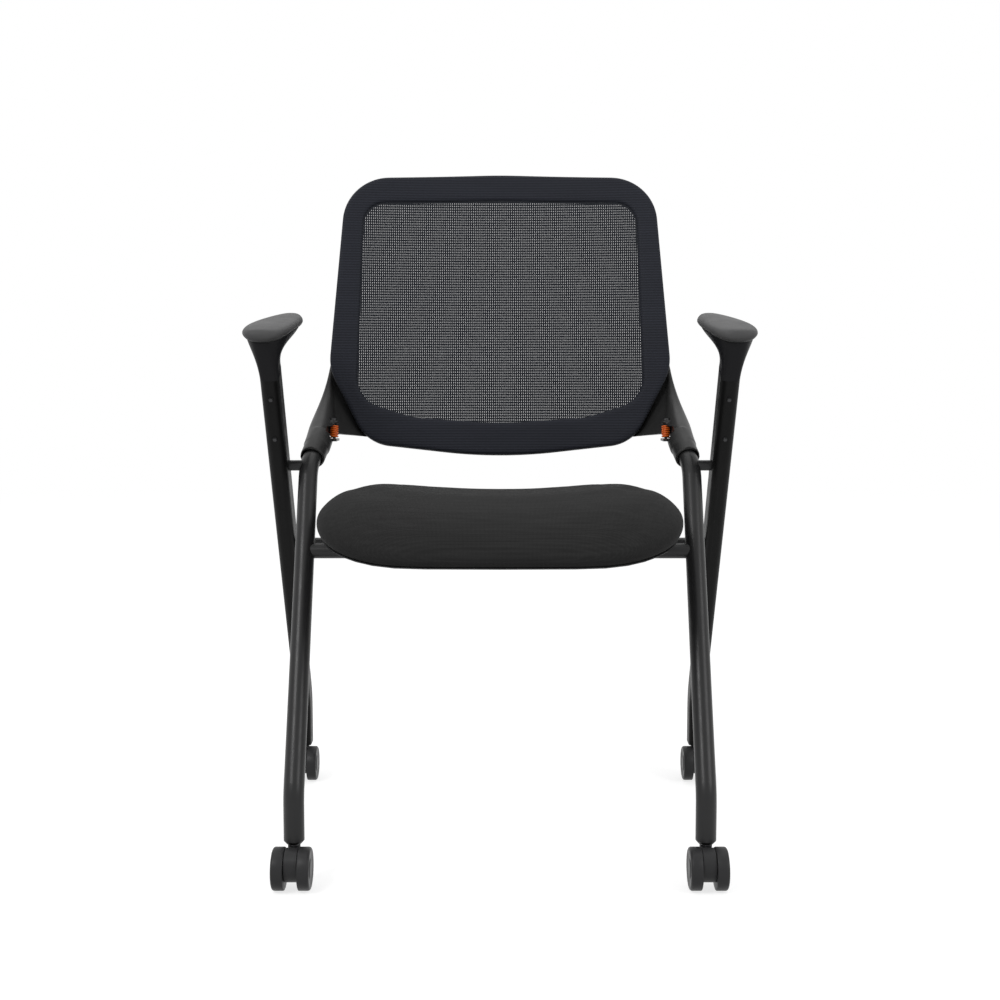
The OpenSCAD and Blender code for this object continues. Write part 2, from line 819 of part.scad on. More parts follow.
// Point at a share of the way round a closed line
function lengths(path) = [for (i = [0 : len(path) - 1]) norm(path[(i + 1) % len(path)] - path[i])];
function along_path(path, steps, way, i = 0) =
    way <= steps[i] || i == len(steps) - 1
        ? lerp(path[i], path[(i + 1) % len(path)], steps[i] > 0 ? clamp(way / steps[i], 0, 1) : 0)
        : along_path(path, steps, way - steps[i], i + 1);
function start_way(steps) = sum([for (i = [0 : arc_steps / 2 - 1]) steps[i]]);
function at_share(path, share) =
    let (
        steps = lengths(path),
        total = sum(steps),
        way = start_way(steps) + total * share
    )
    along_path(path, steps, way - total * floor(way / total));
function resample(path, n) = [for (i = [0 : n - 1]) at_share(path, i / n)];

back_h = back_top_z - back_low_z;
arc_steps = 6;
rim_stations = 56;

// Corners of the outline as shares of the half width and of the height,
// clockwise seen from the front, from the middle of the top
rim_corner_shares = [[0, 1], [0.922, 0.982], [1.004, 0.30], [0.78, 0.04], [0, -0.014]];
rim_radii = [900, 68, 70, 60, 700];
window_corner_shares = [[0, 1], [0.985, 0.985], [1.02, 0.10], [0.62, 0.02], [0, -0.008]];
window_radii = [700, 32, 44, 90, 500];

function mirrored(list) = concat(list, [for (i = [len(list) - 2 : -1 : 1]) [-list[i][0], list[i][1]]]);
function mirrored_radii(list) = concat(list, [for (i = [len(list) - 2 : -1 : 1]) list[i]]);

rim_corners = mirrored([for (s = rim_corner_shares)
    [s[0] * back_half_w, back_low_z + s[1] * back_h]]);
window_half_w = back_half_w - rim_side_w;
window_low_z = back_low_z + rim_low_w;
window_h = back_h - rim_top_w - rim_low_w;
window_corners = mirrored([for (s = window_corner_shares)
    [s[0] * window_half_w, window_low_z + s[1] * window_h]]);

rim_line = rounded(rim_corners, mirrored_radii(rim_radii), arc_steps);
window_line = rounded(window_corners, mirrored_radii(window_radii), arc_steps);
rim_points = resample(rim_line, rim_stations);
window_points = resample(window_line, rim_stations);

// Depth of the backrest's front surface
function back_depth(x, z) = back_y + tan(back_lean) * (z - back_low_z)
    + back_dish * (1 - pow(x / back_half_w, 2));

function on_back(x, z, depth) =
    [x, back_depth(x, z) + depth * cos(back_lean), z - depth * sin(back_lean)];

// Section of the frame at a station: shares of its width, and depths
function rim_section(i, shape) =
    let (outer = rim_points[i], inner = window_points[i], w = norm(outer - inner))
    [for (s = shape) let (p = lerp(inner, outer, 0.5) + (outer - inner) / w * (s[0] * w / 2 + s[1]))
        on_back(p[0], p[1], s[2])];

// Each point: share of the half width, step in mm, depth in mm
function frame_shape(set) = [
    [-1, set + 4, cover_t + fit], [-1, set, rim_t * 0.35], [-1, set + 1, rim_t * 0.7],
    [-1, set + 6, rim_t], [1, -set - 6, rim_t], [1, -set - 1, rim_t * 0.7],
    [1, -set, rim_t * 0.35], [1, -set - 4, cover_t + fit]
];

cover_set = cover_t + fit;
cover_reach = rim_t * 0.62;

cover_shape = [
    [1, 0, cover_reach], [1, 0, rim_t * 0.33], [1, -3.6, 0.6], [0.55, 0, 0],
    [-0.55, 0, 0], [-1, 3.6, 0.6], [-1, 0, rim_t * 0.33], [-1, 0, cover_reach],
    [-1, cover_t, cover_reach], [-1, cover_t, rim_t * 0.34],
    [-1, cover_t + 3.6, cover_t + 0.1], [1, -cover_t - 3.6, cover_t + 0.1],
    [1, -cover_t, rim_t * 0.34], [1, -cover_t, cover_reach]
];

module back_rim() {
    color(plastic_black) difference() {
        placed() ring_loft([for (i = [0 : rim_stations - 1])
            rim_section(i, frame_shape(cover_set))]);
        both_sides() bracket_screw_bores();
    }
}

module rim_cover() {
    color(mesh_navy) placed()
        ring_loft([for (i = [0 : rim_stations - 1]) rim_section(i, cover_shape)]);
}

// Net in the window: strands between gaps, spread between the window's four edges
net_columns = 14;
net_rows = 18;
strand_share = 0.16;
net_depth = rim_t * 0.2;
top_span_share = 0.15;
low_span_share = 0.13;

function window_at(share) = at_share(window_line, share);

function patch(u, v) =
    let (
        top = window_at(lerp(-top_span_share, top_span_share, u)),
        low = window_at(lerp(0.5 + low_span_share, 0.5 - low_span_share, u)),
        left = window_at(lerp(-(0.5 - low_span_share), -top_span_share, v)),
        right = window_at(lerp(0.5 - low_span_share, top_span_share, v)),
        c00 = window_at(0.5 + low_span_share),
        c10 = window_at(0.5 - low_span_share),
        c01 = window_at(-top_span_share),
        c11 = window_at(top_span_share)
    )
    lerp(low, top, v) + lerp(left, right, u) - lerp(lerp(c00, c10, u), lerp(c01, c11, u), v);

// Strand edges along one direction, two for each strand
function strand_edges(gaps) =
    [for (i = [0 : gaps]) each [
        clamp((i - strand_share / 2) / gaps, 0, 1),
        clamp((i + strand_share / 2) / gaps, 0, 1)
    ]];

net_scale = 0.995;

module back_mesh() {
    us = strand_edges(net_columns);
    vs = strand_edges(net_rows);
    nu = len(us);
    nv = len(vs);
    mid = [0, window_low_z + window_h / 2];
    layer = nu * nv;
    points = [for (depth = [net_depth, net_depth + net_t], v = vs, u = us)
        let (p = mid + (patch(u, v) - mid) * net_scale) on_back(p[0], p[1], depth)];
    function solid(i, j) = i >= 0 && j >= 0 && i < nu - 1 && j < nv - 1
        && !(i % 2 == 1 && j % 2 == 1);
    quads = [for (j = [0 : nv - 2], i = [0 : nu - 2]) if (solid(i, j)) let (
        a = j * nu + i, b = a + 1, c = a + nu + 1, d = a + nu)
        each concat(
            [[a, c, b], [a, d, c], [a + layer, b + layer, c + layer],
                [a + layer, c + layer, d + layer]],
            solid(i, j - 1) ? [] : [[a, b, b + layer], [a, b + layer, a + layer]],
            solid(i, j + 1) ? [] : [[c, d, d + layer], [c, d + layer, c + layer]],
            solid(i - 1, j) ? [] : [[d, a, a + layer], [d, a + layer, d + layer]],
            solid(i + 1, j) ? [] : [[b, c, c + layer], [b, c + layer, b + layer]]
        )];
    color(mesh_navy) placed() polyhedron(points, quads);
}

// Back bracket: a sleeve round the tube end, a swan neck and a wing to the frame
sleeve_r = leg_d / 2 + sleeve_gap + sleeve_wall;
sleeve_mouth = leg_end - sleeve_l * end_dir;
neck_sides = 24;

module sleeve_solid() {
    straight(sleeve_mouth, sleeve_mouth + (sleeve_l + 4) * end_dir, square_to(end_dir))
        circle(sleeve_r);
}

// Stations of the swan neck: centre, direction of its width, half width and half depth
neck_top = on_back(back_half_w - 2, back_low_z + 0.31 * back_h, rim_t + wing_t / 2);
neck_stations = 18;

function neck_curve(t) =
    let (
        a = sleeve_mouth + (sleeve_l * 0.5) * end_dir,
        b = sleeve_mouth + (sleeve_l * 1.35) * end_dir,
        up = [0, sin(back_lean), cos(back_lean)],
        c = neck_top - 62 * up + [10, 0, 0],
        d = neck_top
    )
    lerp(lerp(lerp(a, b, t), lerp(b, c, t), t), lerp(lerp(b, c, t), lerp(c, d, t), t), t);

function neck_ring(t) =
    let (
        step = 0.01,
        dir = unit(neck_curve(t + step) - neck_curve(t - step)),
        wide = unit([1, 0, 0] - ([1, 0, 0] * dir) * dir),
        deep = cross(dir, wide),
        half_w = lerp(sleeve_r + 1.5, 4, ease(clamp((t - 0.25) / 0.75, 0, 1))),
        half_d = lerp(sleeve_r, 5, ease(clamp((t - 0.1) / 0.9, 0, 1)))
    )
    [for (j = [0 : neck_sides - 1]) let (a = 360 * j / neck_sides)
        clear(neck_curve(t) + half_w * cos(a) * wide + half_d * sin(a) * deep, 2 * fit, 1)];

module swan_neck() {
    loft([for (i = [0 : neck_stations]) neck_ring(i / neck_stations)]);
}

// Half width of the frame's outline at a height
function rim_half_w(z) = max([for (i = [0 : len(rim_line) - 1])
    let (p = rim_line[i], q = rim_line[(i + 1) % len(rim_line)])
    (p[1] - z) * (q[1] - z) <= 0 && p[1] != q[1]
        ? lerp(p[0], q[0], (z - p[1]) / (q[1] - p[1])) : 0]);

// Moves a point of the bracket clear of the covered frame, outwards or rearwards
function clear(p, room, share) =
    let (
        deep = rim_t + fit + room,
        fall = deep * sin(back_lean),
        edge = max(rim_half_w(p[2]), rim_half_w(p[2] + fall)) + over + room,
        rear = back_depth(p[0], p[2] + fall) + deep * cos(back_lean),
        out = edge - p[0],
        back = rear - p[1]
    )
    out <= 0 || back <= 0 ? p
        : out * share < back ? [edge, p[1], p[2]] : [p[0], rear, p[2]];

// Stations of the wing: a web from the neck round the frame's edge to its back
wing_start_share = 0.27;
wing_stations = 10;
wing_sides = 28;
wing_lap = 16;
wing_root_t = 28;
wing_drop = 12;
wing_bend_out = 24;
wing_bend_back = 12;

function wing_ring(i) =
    let (
        low = 1 - i / wing_stations,
        t = lerp(1, wing_start_share, low),
        b = neck_curve(t),
        z = b[2] - wing_drop * low,
        edge = rim_half_w(z),
        middle = rim_t + fit + wing_t / 2,
        a = on_back(edge - wing_lap, z, middle),
        a_level = [a[0], a[1], z],
        corner = on_back(edge, z, middle) + [wing_bend_out, wing_bend_back, 0],
        bend = lerp((a_level + b) / 2, [corner[0], corner[1], (z + b[2]) / 2], pow(low, 0.6)),
        root = lerp(wing_t * 0.8, wing_root_t, ease(low))
    )
    [for (j = [0 : wing_sides - 1]) let (
        w = 360 * j / wing_sides,
        s = (cos(w) + 1) / 2,
        along = unit(lerp(bend - a_level, b - bend, s)),
        across = unit(cross([0, 0, 1], along)),
        half_t = lerp(wing_t, root, s) / 2 * sign(sin(w)) * pow(1 - pow(cos(w), 4), 1 / 3)
    )
        clear(lerp(lerp(a_level, bend, s), lerp(bend, b, s), s) + half_t * across, over, 8)];

module wing() {
    loft([for (i = [0 : wing_stations]) wing_ring(i)]);
}

// Tilt spring: stands on a tab of the tube end, under a boss of the bracket
tab_t = 3;
tab_l = 13;
cap_t = 3;
spring_at = [leg_end[0] - sleeve_r + 1.5, leg_end[1] + 28, leg_end[2] - 2];
boss_d = spring_d + 2;
boss_t = 6;
bolt_d = 4;
swing_room = 2.6;
tilt_room = 3.5;

module tab_solid(grow, lift) {
    translate([spring_at[0] - tab_l / 2 - grow * over, leg_end[1] - grow * over,
        spring_at[2] - tab_t - grow * fit])
        cube([leg_end[0] - spring_at[0] + tab_l / 2 + grow * over,
            spring_at[1] - leg_end[1] + tab_l / 2 + grow * 2 * over,
            tab_t + grow * fit + lift]);
}

module spring_seat() {
    color(frame_black) difference() {
        union() {
            straight(leg_end - 16 * end_dir, leg_end, square_to(end_dir))
                circle(leg_d / 2 - leg_wall);
            straight(leg_end, leg_end + cap_t * end_dir, square_to(end_dir)) circle(leg_d / 2);
            tab_solid(0, 0);
        }
        translate(spring_at - [0, 0, tab_t + over]) cylinder(d = bolt_d, h = tab_t + 2 * over);
        pin_bore(pin_d / 2);
    }
}

// Upright slot round the spring's axis, long enough for the bracket's swing
module swing_slot(d, low, high) {
    translate(spring_at + [0, 0, low]) {
        cylinder(d = d, h = high);
        translate([0, -swing_room, 0]) cylinder(d = d, h = high);
        translate([-d / 2, -swing_room, 0]) cube([d, swing_room, high]);
    }
}

module spring_boss() {
    translate(spring_at + [0, 0, spring_l + 2 * fit]) {
        cylinder(d = boss_d, h = boss_t);
        translate([0, -boss_d / 4, 0]) cube([sleeve_r, boss_d * 0.7, boss_t]);
    }
}

module back_bracket() {
    color(plastic_black) difference() {
        union() {
            sleeve_solid();
            swan_neck();
            wing();
            spring_boss();
        }
        straight(sleeve_mouth - over * end_dir, leg_end + (cap_t + over) * end_dir,
            square_to(end_dir)) circle(leg_d / 2 + sleeve_gap);
        pin_bore(pin_d / 2 + run_gap);
        bracket_screw_bores();
        tab_solid(1, tilt_room);
        swing_slot(spring_d + 2 * over, 0, spring_l + 2 * fit);
        swing_slot(bolt_d + over, 0, spring_l + 2 * fit + boss_t + over);
        swing_slot(head_d + 2 * over, spring_l + 2 * fit + boss_t, head_t + tilt_room + over);
    }
}

// Shoulder bolt through the spring: its head keeps the bracket from rising
module spring_bolt() {
    top = spring_l + 2 * fit + boss_t + fit;
    color(steel) translate(spring_at) {
        translate([0, 0, -tab_t]) cylinder(d = bolt_d, h = tab_t + top);
        translate([0, 0, top]) cylinder(d1 = head_d, d2 = head_d * 0.7, h = head_t);
    }
}

// Helical tube: points along the wire, with straight ends along the spring's axis
wire_sides = 6;
turn_rings = 8;
coil_r = (spring_d - wire_d) / 2;
wire_path = concat(
    [[coil_r, 0, wire_d / 2 * 0.01]],
    [for (i = [0 : spring_turns * turn_rings]) let (
        t = i / (spring_turns * turn_rings),
        a = 360 * spring_turns * t
    )
        [coil_r * cos(a), coil_r * sin(a), lerp(wire_d, spring_l - wire_d, t)]],
    [[coil_r, 0, spring_l - wire_d / 2 * 0.01]]
);

function wire_dir(i) =
    i == 0 || i == len(wire_path) - 1
        ? [0, 0, 1] : unit(wire_path[i + 1] - wire_path[i - 1]);

function wire_ring(i) =
    let (
        dir = wire_dir(i),
        out = unit([wire_path[i][0], wire_path[i][1], 0]),
        wide = unit(out - (out * dir) * dir),
        deep = cross(dir, wide)
    )
    [for (j = [0 : wire_sides - 1]) let (a = 360 * j / wire_sides)
        wire_path[i] + wire_d / 2 * (cos(a) * wide + sin(a) * deep)];

// Least gap of the wire to itself, between points at least half a turn apart
spring_gap = min([for (i = [0 : len(wire_path) - 1], j = [0 : len(wire_path) - 1])
    if (j - i > turn_rings / 2) norm(wire_path[i] - wire_path[j])]) - wire_d;
echo(spring_gap = spring_gap);

module tilt_spring() {
    color(spring_orange) translate(spring_at + [0, 0, fit])
        loft([for (i = [0 : len(wire_path) - 1]) wire_ring(i)]);
}

// Screws from behind, through the wing into the frame
back_normal = [0, cos(back_lean), -sin(back_lean)];
bracket_screw_shares = [0.10, 0.20];
bracket_screw_l = wing_t + fit + rim_t * 0.6;
bracket_screw_places = [for (share = bracket_screw_shares)
    let (z = back_low_z + share * back_h)
    on_back(rim_half_w(z) - wing_lap * 0.9, z, rim_t + wing_t + fit - over)];

module bracket_screw_pair() {
    color(steel) for (at = bracket_screw_places) screw(at, -back_normal, bracket_screw_l);
}

module bracket_screw_bores() {
    for (at = bracket_screw_places)
        screw_bore(at, -back_normal, bracket_screw_l, wing_root_t);
}

module tilt_pin() {
    color(steel) translate([pin_at[0], pin_y, pin_z]) rotate([0, 90, 0])
        cylinder(d = pin_d, h = pin_l, center = true);
}

// assembly
side(1) front_leg();  // front_leg_left
side(-1) front_leg();  // front_leg_right
side(1) rear_leg();  // rear_leg_left
side(-1) rear_leg();  // rear_leg_right
front_cross_bar();
rear_cross_bar();
both_sides() leg_spacer();  // leg_spacers
both_sides() front_leg_plug();  // front_leg_plugs
both_sides() rear_leg_plug();  // rear_leg_plugs
both_sides() {  // caster_stems
    caster_stem(leg_foot);
    caster_stem(rail_foot);
}
both_sides() tilt_pin();  // tilt_pins
side(1) arm_bracket();  // arm_bracket_left
side(-1) arm_bracket();  // arm_bracket_right
side(1) arm_pad();  // arm_pad_left
side(-1) arm_pad();  // arm_pad_right
both_sides() arm_screw_pair();  // arm_screws
side(1) back_bracket();  // back_bracket_left
side(-1) back_bracket();  // back_bracket_right
back_rim();
rim_cover();
back_mesh();
seat_shell();
seat_board();
seat_cushion();
side(1) seat_hinge();  // seat_hinge_left
side(-1) seat_hinge();  // seat_hinge_right
both_sides() hinge_bush();  // hinge_bushes
both_sides() seat_bumper();  // seat_bumpers
both_sides() seat_screw_set();  // seat_screws
both_sides() shell_screw();  // shell_screws
both_sides() spring_seat();  // spring_seats
both_sides() spring_bolt();  // spring_bolts
side(1) tilt_spring();  // spring_left
side(-1) tilt_spring();  // spring_right
both_sides() bracket_screw_pair();  // bracket_screws
side(1) at_caster(leg_foot) caster_housing();  // front_left_housing
side(1) at_caster(leg_foot) caster_axle();  // front_left_axle
side(1) at_caster(leg_foot) caster_wheel();  // front_left_wheel_outer
side(1) at_caster(leg_foot) mirror([1, 0, 0]) caster_wheel();  // front_left_wheel_inner
side(-1) at_caster(leg_foot) caster_housing();  // front_right_housing
side(-1) at_caster(leg_foot) caster_axle();  // front_right_axle
side(-1) at_caster(leg_foot) caster_wheel();  // front_right_wheel_outer
side(-1) at_caster(leg_foot) mirror([1, 0, 0]) caster_wheel();  // front_right_wheel_inner
side(1) at_caster(rail_foot) caster_housing();  // rear_left_housing
side(1) at_caster(rail_foot) caster_axle();  // rear_left_axle
side(1) at_caster(rail_foot) caster_wheel();  // rear_left_wheel_outer
side(1) at_caster(rail_foot) mirror([1, 0, 0]) caster_wheel();  // rear_left_wheel_inner
side(-1) at_caster(rail_foot) caster_housing();  // rear_right_housing
side(-1) at_caster(rail_foot) caster_axle();  // rear_right_axle
side(-1) at_caster(rail_foot) caster_wheel();  // rear_right_wheel_outer
side(-1) at_caster(rail_foot) mirror([1, 0, 0]) caster_wheel();  // rear_right_wheel_inner
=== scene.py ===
import bisect
import json
import math

import bmesh
import bpy
from mathutils import Matrix, Vector, noise

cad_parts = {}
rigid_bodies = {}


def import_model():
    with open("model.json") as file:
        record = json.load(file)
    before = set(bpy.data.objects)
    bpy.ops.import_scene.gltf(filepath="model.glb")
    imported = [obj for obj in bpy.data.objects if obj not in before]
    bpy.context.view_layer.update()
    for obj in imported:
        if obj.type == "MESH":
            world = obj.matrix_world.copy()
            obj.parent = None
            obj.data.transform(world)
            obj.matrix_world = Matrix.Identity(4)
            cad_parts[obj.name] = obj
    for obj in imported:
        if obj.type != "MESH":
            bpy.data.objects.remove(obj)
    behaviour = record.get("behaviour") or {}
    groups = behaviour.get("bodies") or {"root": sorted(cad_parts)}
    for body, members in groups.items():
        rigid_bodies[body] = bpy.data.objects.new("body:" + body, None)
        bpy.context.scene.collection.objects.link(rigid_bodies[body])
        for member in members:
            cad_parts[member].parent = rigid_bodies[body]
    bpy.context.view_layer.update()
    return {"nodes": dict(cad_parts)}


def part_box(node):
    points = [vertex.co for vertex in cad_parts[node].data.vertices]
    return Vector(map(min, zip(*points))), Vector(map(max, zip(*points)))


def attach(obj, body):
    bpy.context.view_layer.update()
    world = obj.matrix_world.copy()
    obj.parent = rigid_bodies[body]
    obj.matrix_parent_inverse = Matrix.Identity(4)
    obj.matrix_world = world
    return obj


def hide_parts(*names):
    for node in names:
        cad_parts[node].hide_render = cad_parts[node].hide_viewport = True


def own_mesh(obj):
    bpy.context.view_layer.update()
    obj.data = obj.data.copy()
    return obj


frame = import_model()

# Camera
CAMERA_AT, CAMERA_TILT = (0, -1.84775, 0.596), 4.67
LENS, SENSOR_W = 50, 36


def make_camera():
    data = bpy.data.cameras.new("camera")
    data.lens = LENS
    data.sensor_width = SENSOR_W
    cam = bpy.data.objects.new("camera", data)
    cam.location = CAMERA_AT
    cam.rotation_euler = (math.radians(90 - CAMERA_TILT), 0, 0)
    bpy.context.scene.collection.objects.link(cam)
    bpy.context.scene.camera = cam


make_camera()


# Materials
# Distance in metres between the bands of a wave texture at scale 1
WAVE_PERIOD = 0.314


class Mat:
    """A node material with a Principled shader and small helpers."""

    def __init__(self, name, color, rough=0.5, metallic=0.0):
        self.mat = bpy.data.materials.new(name)
        self.mat.use_nodes = True
        self.nt = self.mat.node_tree
        self.shader = self.nt.nodes["Principled BSDF"]
        self.set("Base Color", (*color, 1))
        self.set("Roughness", rough)
        self.set("Metallic", metallic)
        self.color = color
        self.coords = None

    def set(self, socket, value):
        self.shader.inputs[socket].default_value = value

    def node(self, kind, **props):
        made = self.nt.nodes.new(kind)
        for key, value in props.items():
            setattr(made, key, value)
        return made

    def link(self, a, b):
        self.nt.links.new(a, b)

    def where(self, scale=(1, 1, 1)):
        if self.coords is None:
            self.coords = self.node("ShaderNodeTexCoord")
        mapping = self.node("ShaderNodeMapping")
        mapping.inputs["Scale"].default_value = scale
        self.link(self.coords.outputs["Object"], mapping.inputs["Vector"])
        return mapping.outputs["Vector"]

    def noise(self, scale, detail=3.0, stretch=(1, 1, 1)):
        tex = self.node("ShaderNodeTexNoise")
        tex.inputs["Scale"].default_value = scale
        tex.inputs["Detail"].default_value = detail
        self.link(self.where(stretch), tex.inputs["Vector"])
        return tex.outputs["Fac"]

    def wave(self, period, direction="Z", distortion=0.0):
        tex = self.node("ShaderNodeTexWave", wave_type="BANDS", bands_direction=direction)
        tex.inputs["Scale"].default_value = WAVE_PERIOD / period
        tex.inputs["Distortion"].default_value = distortion
        tex.inputs["Detail"].default_value = 1.0
        tex.inputs["Detail Scale"].default_value = 2.0
        self.link(self.where(), tex.inputs["Vector"])
        return tex.outputs["Fac"]

    def math(self, op, a, b):
        made = self.node("ShaderNodeMath", operation=op)
        for socket, value in zip(made.inputs, (a, b)):
            if isinstance(value, (int, float)):
                socket.default_value = value
            else:
                self.link(value, socket)
        return made.outputs[0]

    def ramp(self, fac, stops):
        made = self.node("ShaderNodeValToRGB")
        elements = made.color_ramp.elements
        while len(elements) < len(stops):
            elements.new(0.5)
        for element, (pos, value) in zip(elements, stops):
            element.position = pos
            element.color = (*value, 1) if isinstance(value, tuple) else (value, value, value, 1)
        self.link(fac, made.inputs["Fac"])
        return made.outputs["Color"]

    def tint(self, fac, low, high):
        dark = tuple(c * low for c in self.color)
        light = tuple(c * high for c in self.color)
        self.link(self.ramp(fac, [(0.25, dark), (0.75, light)]), self.shader.inputs["Base Color"])

    def vary_rough(self, fac, low, high):
        self.link(self.ramp(fac, [(0.2, low), (0.8, high)]), self.shader.inputs["Roughness"])

    def bump(self, height, strength, distance):
        made = self.node("ShaderNodeBump")
        made.inputs["Strength"].default_value = strength
        made.inputs["Distance"].default_value = distance
        self.link(height, made.inputs["Height"])
        self.link(made.outputs["Normal"], self.shader.inputs["Normal"])


def paint(name, color, rough, bump=0.12, specular=0.4):
    """Powder coat: fine orange peel, and a slightly uneven gloss."""
    m = Mat(name, color, rough)
    m.set("Specular IOR Level", specular)
    m.vary_rough(m.noise(60, 4), rough - 0.05, rough + 0.07)
    m.tint(m.noise(9, 3), 0.92, 1.08)
    m.bump(m.noise(900, 2), bump, 0.0003)
    return m.mat


def moulding(name, color, rough, grain=1400, bump=0.2, specular=0.35):
    """Moulded plastic: spark-eroded grain, and faint flow marks in its gloss."""
    m = Mat(name, color, rough)
    m.set("Specular IOR Level", specular)
    m.vary_rough(m.noise(35, 4), rough - 0.06, rough + 0.06)
    m.tint(m.noise(14, 3), 0.93, 1.07)
    m.bump(m.noise(grain, 2), bump, 0.0002)
    return m.mat


def metal(name, color, rough):
    """Plated steel: fine turning lines and cloudy zinc."""
    m = Mat(name, color, rough, 1.0)
    m.vary_rough(m.noise(140, 5), rough - 0.08, rough + 0.1)
    m.tint(m.noise(60, 3), 0.88, 1.08)
    m.bump(m.wave(WAVE_PERIOD / 900, "Z", distortion=1.0), 0.05, 0.0001)
    return m.mat


PLY_T, YARN, WARP_YARN = 0.0015, 0.0013, 0.0015


def plywood():
    """Birch ply: pale, with long grain and darker glue lines at its edge."""
    m = Mat("birch_ply", (0.42, 0.29, 0.17), 0.6)
    grain = m.noise(40, 5, stretch=(1, 0.06, 1))
    plies = m.wave(PLY_T, "Z", distortion=0.1)
    m.tint(m.math("ADD", m.math("MULTIPLY", grain, 0.7), m.math("MULTIPLY", plies, 0.3)),
           0.75, 1.2)
    m.vary_rough(grain, 0.52, 0.68)
    m.bump(grain, 0.2, 0.0003)
    return m.mat


FRAME_BLACK = paint("frame_black", (0.015, 0.015, 0.0155), 0.33, specular=0.27)
# Rear legs: the frame's paint made darker and less glossy, as painted shade on their flat faces
RAIL_SHADED_BLACK = paint("rail_shaded_black", (0.0062, 0.0062, 0.0062), 0.42, specular=0.1)
ARM_BLACK = moulding("arm_black", (0.007, 0.007, 0.008), 0.45, specular=0.12)
MOULD_BLACK = moulding("mould_black", (0.017, 0.017, 0.017), 0.4, specular=0.22)
SHELL_BLACK = moulding("shell_black", (0.012, 0.012, 0.013), 0.55)
PAD_GREY = moulding("pad_grey", (0.072, 0.072, 0.073), 0.52, grain=1900, bump=0.3, specular=0.12)
RUBBER = moulding("bumper_rubber", (0.02, 0.02, 0.02), 0.75)
ZINC = metal("zinc_steel", (0.42, 0.42, 0.43), 0.34)
BLACK_ZINC = metal("black_zinc", (0.05, 0.05, 0.052), 0.4)
ORANGE = paint("spring_orange", (0.85, 0.15, 0.015), 0.4)
NYLON = moulding("nylon", (0.06, 0.06, 0.06), 0.5)
CASTER = moulding("caster_plastic", (0.024, 0.024, 0.025), 0.42, specular=0.2)
WHEEL = moulding("wheel_nylon", (0.024, 0.024, 0.025), 0.4, specular=0.2)
PLYWOOD = plywood()


def knit(name, color, rough, period, strength):
    """Ribbed knit: fine level ribs with threads across them, and a soft sheen."""
    m = Mat(name, color, rough)
    m.set("Sheen Weight", 0.05)
    m.set("Sheen Roughness", 0.5)
    m.set("Specular IOR Level", 0.12)
    ribs = m.wave(period, "Z", distortion=0.15)
    threads = m.wave(period / 2, "X", distortion=0.2)
    weave = m.math("MULTIPLY", ribs, m.math("ADD", m.math("MULTIPLY", threads, 0.35), 0.65))
    uneven = m.noise(70, 4, stretch=(0.15, 0.15, 1))
    m.tint(m.math("ADD", m.math("MULTIPLY", weave, 0.6), m.math("MULTIPLY", uneven, 0.4)),
           0.72, 1.3)
    m.bump(weave, strength, 0.0005)
    return m.mat


def seat_cloth():
    """Close woven cloth: fine level yarns, dots where they cross, slubs, and a faint nap."""
    m = Mat("seat_cloth", (0.0248, 0.0248, 0.0248), 0.85)
    m.set("Sheen Weight", 0.02)
    m.set("Sheen Roughness", 0.6)
    m.set("Specular IOR Level", 0.06)
    weft = m.wave(YARN, "Z", distortion=0.3)
    depth = m.wave(YARN, "Y", distortion=0.3)
    warp = m.wave(WARP_YARN, "X", distortion=0.3)
    weave = m.math("MULTIPLY", m.math("MAXIMUM", weft, depth), warp)
    slub = m.noise(260, 4, stretch=(0.06, 1, 1))
    m.tint(m.math("ADD", m.math("MULTIPLY", weave, 0.45), m.math("MULTIPLY", slub, 0.55)),
           0.75, 1.3)
    m.bump(m.math("ADD", m.math("MULTIPLY", weave, 0.6), m.math("MULTIPLY", slub, 0.4)),
           0.35, 0.0004)
    return m.mat


COVER_KNIT = knit("cover_knit", (0.015, 0.0165, 0.023), 0.6, period=0.0038, strength=0.5)
NET_KNIT = knit("net_knit", (0.011, 0.0125, 0.017), 0.6, period=0.0019, strength=0.3)
SEAT_CLOTH = seat_cloth()

NODE_MATERIALS = [
    (FRAME_BLACK, "front_leg_left front_leg_right front_cross_bar rear_cross_bar leg_spacers "
                  "seat_hinge_left seat_hinge_right spring_seats"),
    (RAIL_SHADED_BLACK, "rear_leg_left rear_leg_right"),
    (ARM_BLACK, "arm_bracket_left arm_bracket_right rear_leg_plugs"),
    (MOULD_BLACK, "front_leg_plugs back_bracket_left back_bracket_right back_rim rim_cover "
                  "back_mesh"),
    (SHELL_BLACK, "seat_shell seat_cushion"),
    (PLYWOOD, "seat_board"),
    (PAD_GREY, "arm_pad_left arm_pad_right"),
    (RUBBER, "seat_bumpers"),
    (ZINC, "caster_stems tilt_pins bracket_screws seat_screws shell_screws"),
    (BLACK_ZINC, "arm_screws spring_bolts"),
    (ORANGE, "spring_left spring_right"),
    (NYLON, "hinge_bushes"),
]


def give(node, mat):
    obj = frame["nodes"][node]
    obj.data.materials.clear()
    obj.data.materials.append(mat)


for material, names in NODE_MATERIALS:
    for node_name in names.split():
        give(node_name, material)
for node_name in frame["nodes"]:
    if node_name.endswith("_axle"):
        give(node_name, ZINC)
    elif node_name.endswith("_housing"):
        give(node_name, CASTER)
    elif "_wheel_" in node_name:
        give(node_name, WHEEL)


# Shapes, in the CAD's own mm
MM = 0.001
PLAN_Y = 239.75
FIT = 0.3


def at(p):
    """A point of the drawing, in mm from the front axle, as a place in the scene."""
    return Vector((p[0], p[1] - PLAN_Y, p[2])) * MM


def lerp(a, b, t):
    return a + (b - a) * t


def clamp(v, low=0.0, high=1.0):
    return max(low, min(high, v))


def ease(t):
    return t * t * (3 - 2 * t)


def squared(v, power):
    return math.copysign(abs(v) ** (2 / power), v)


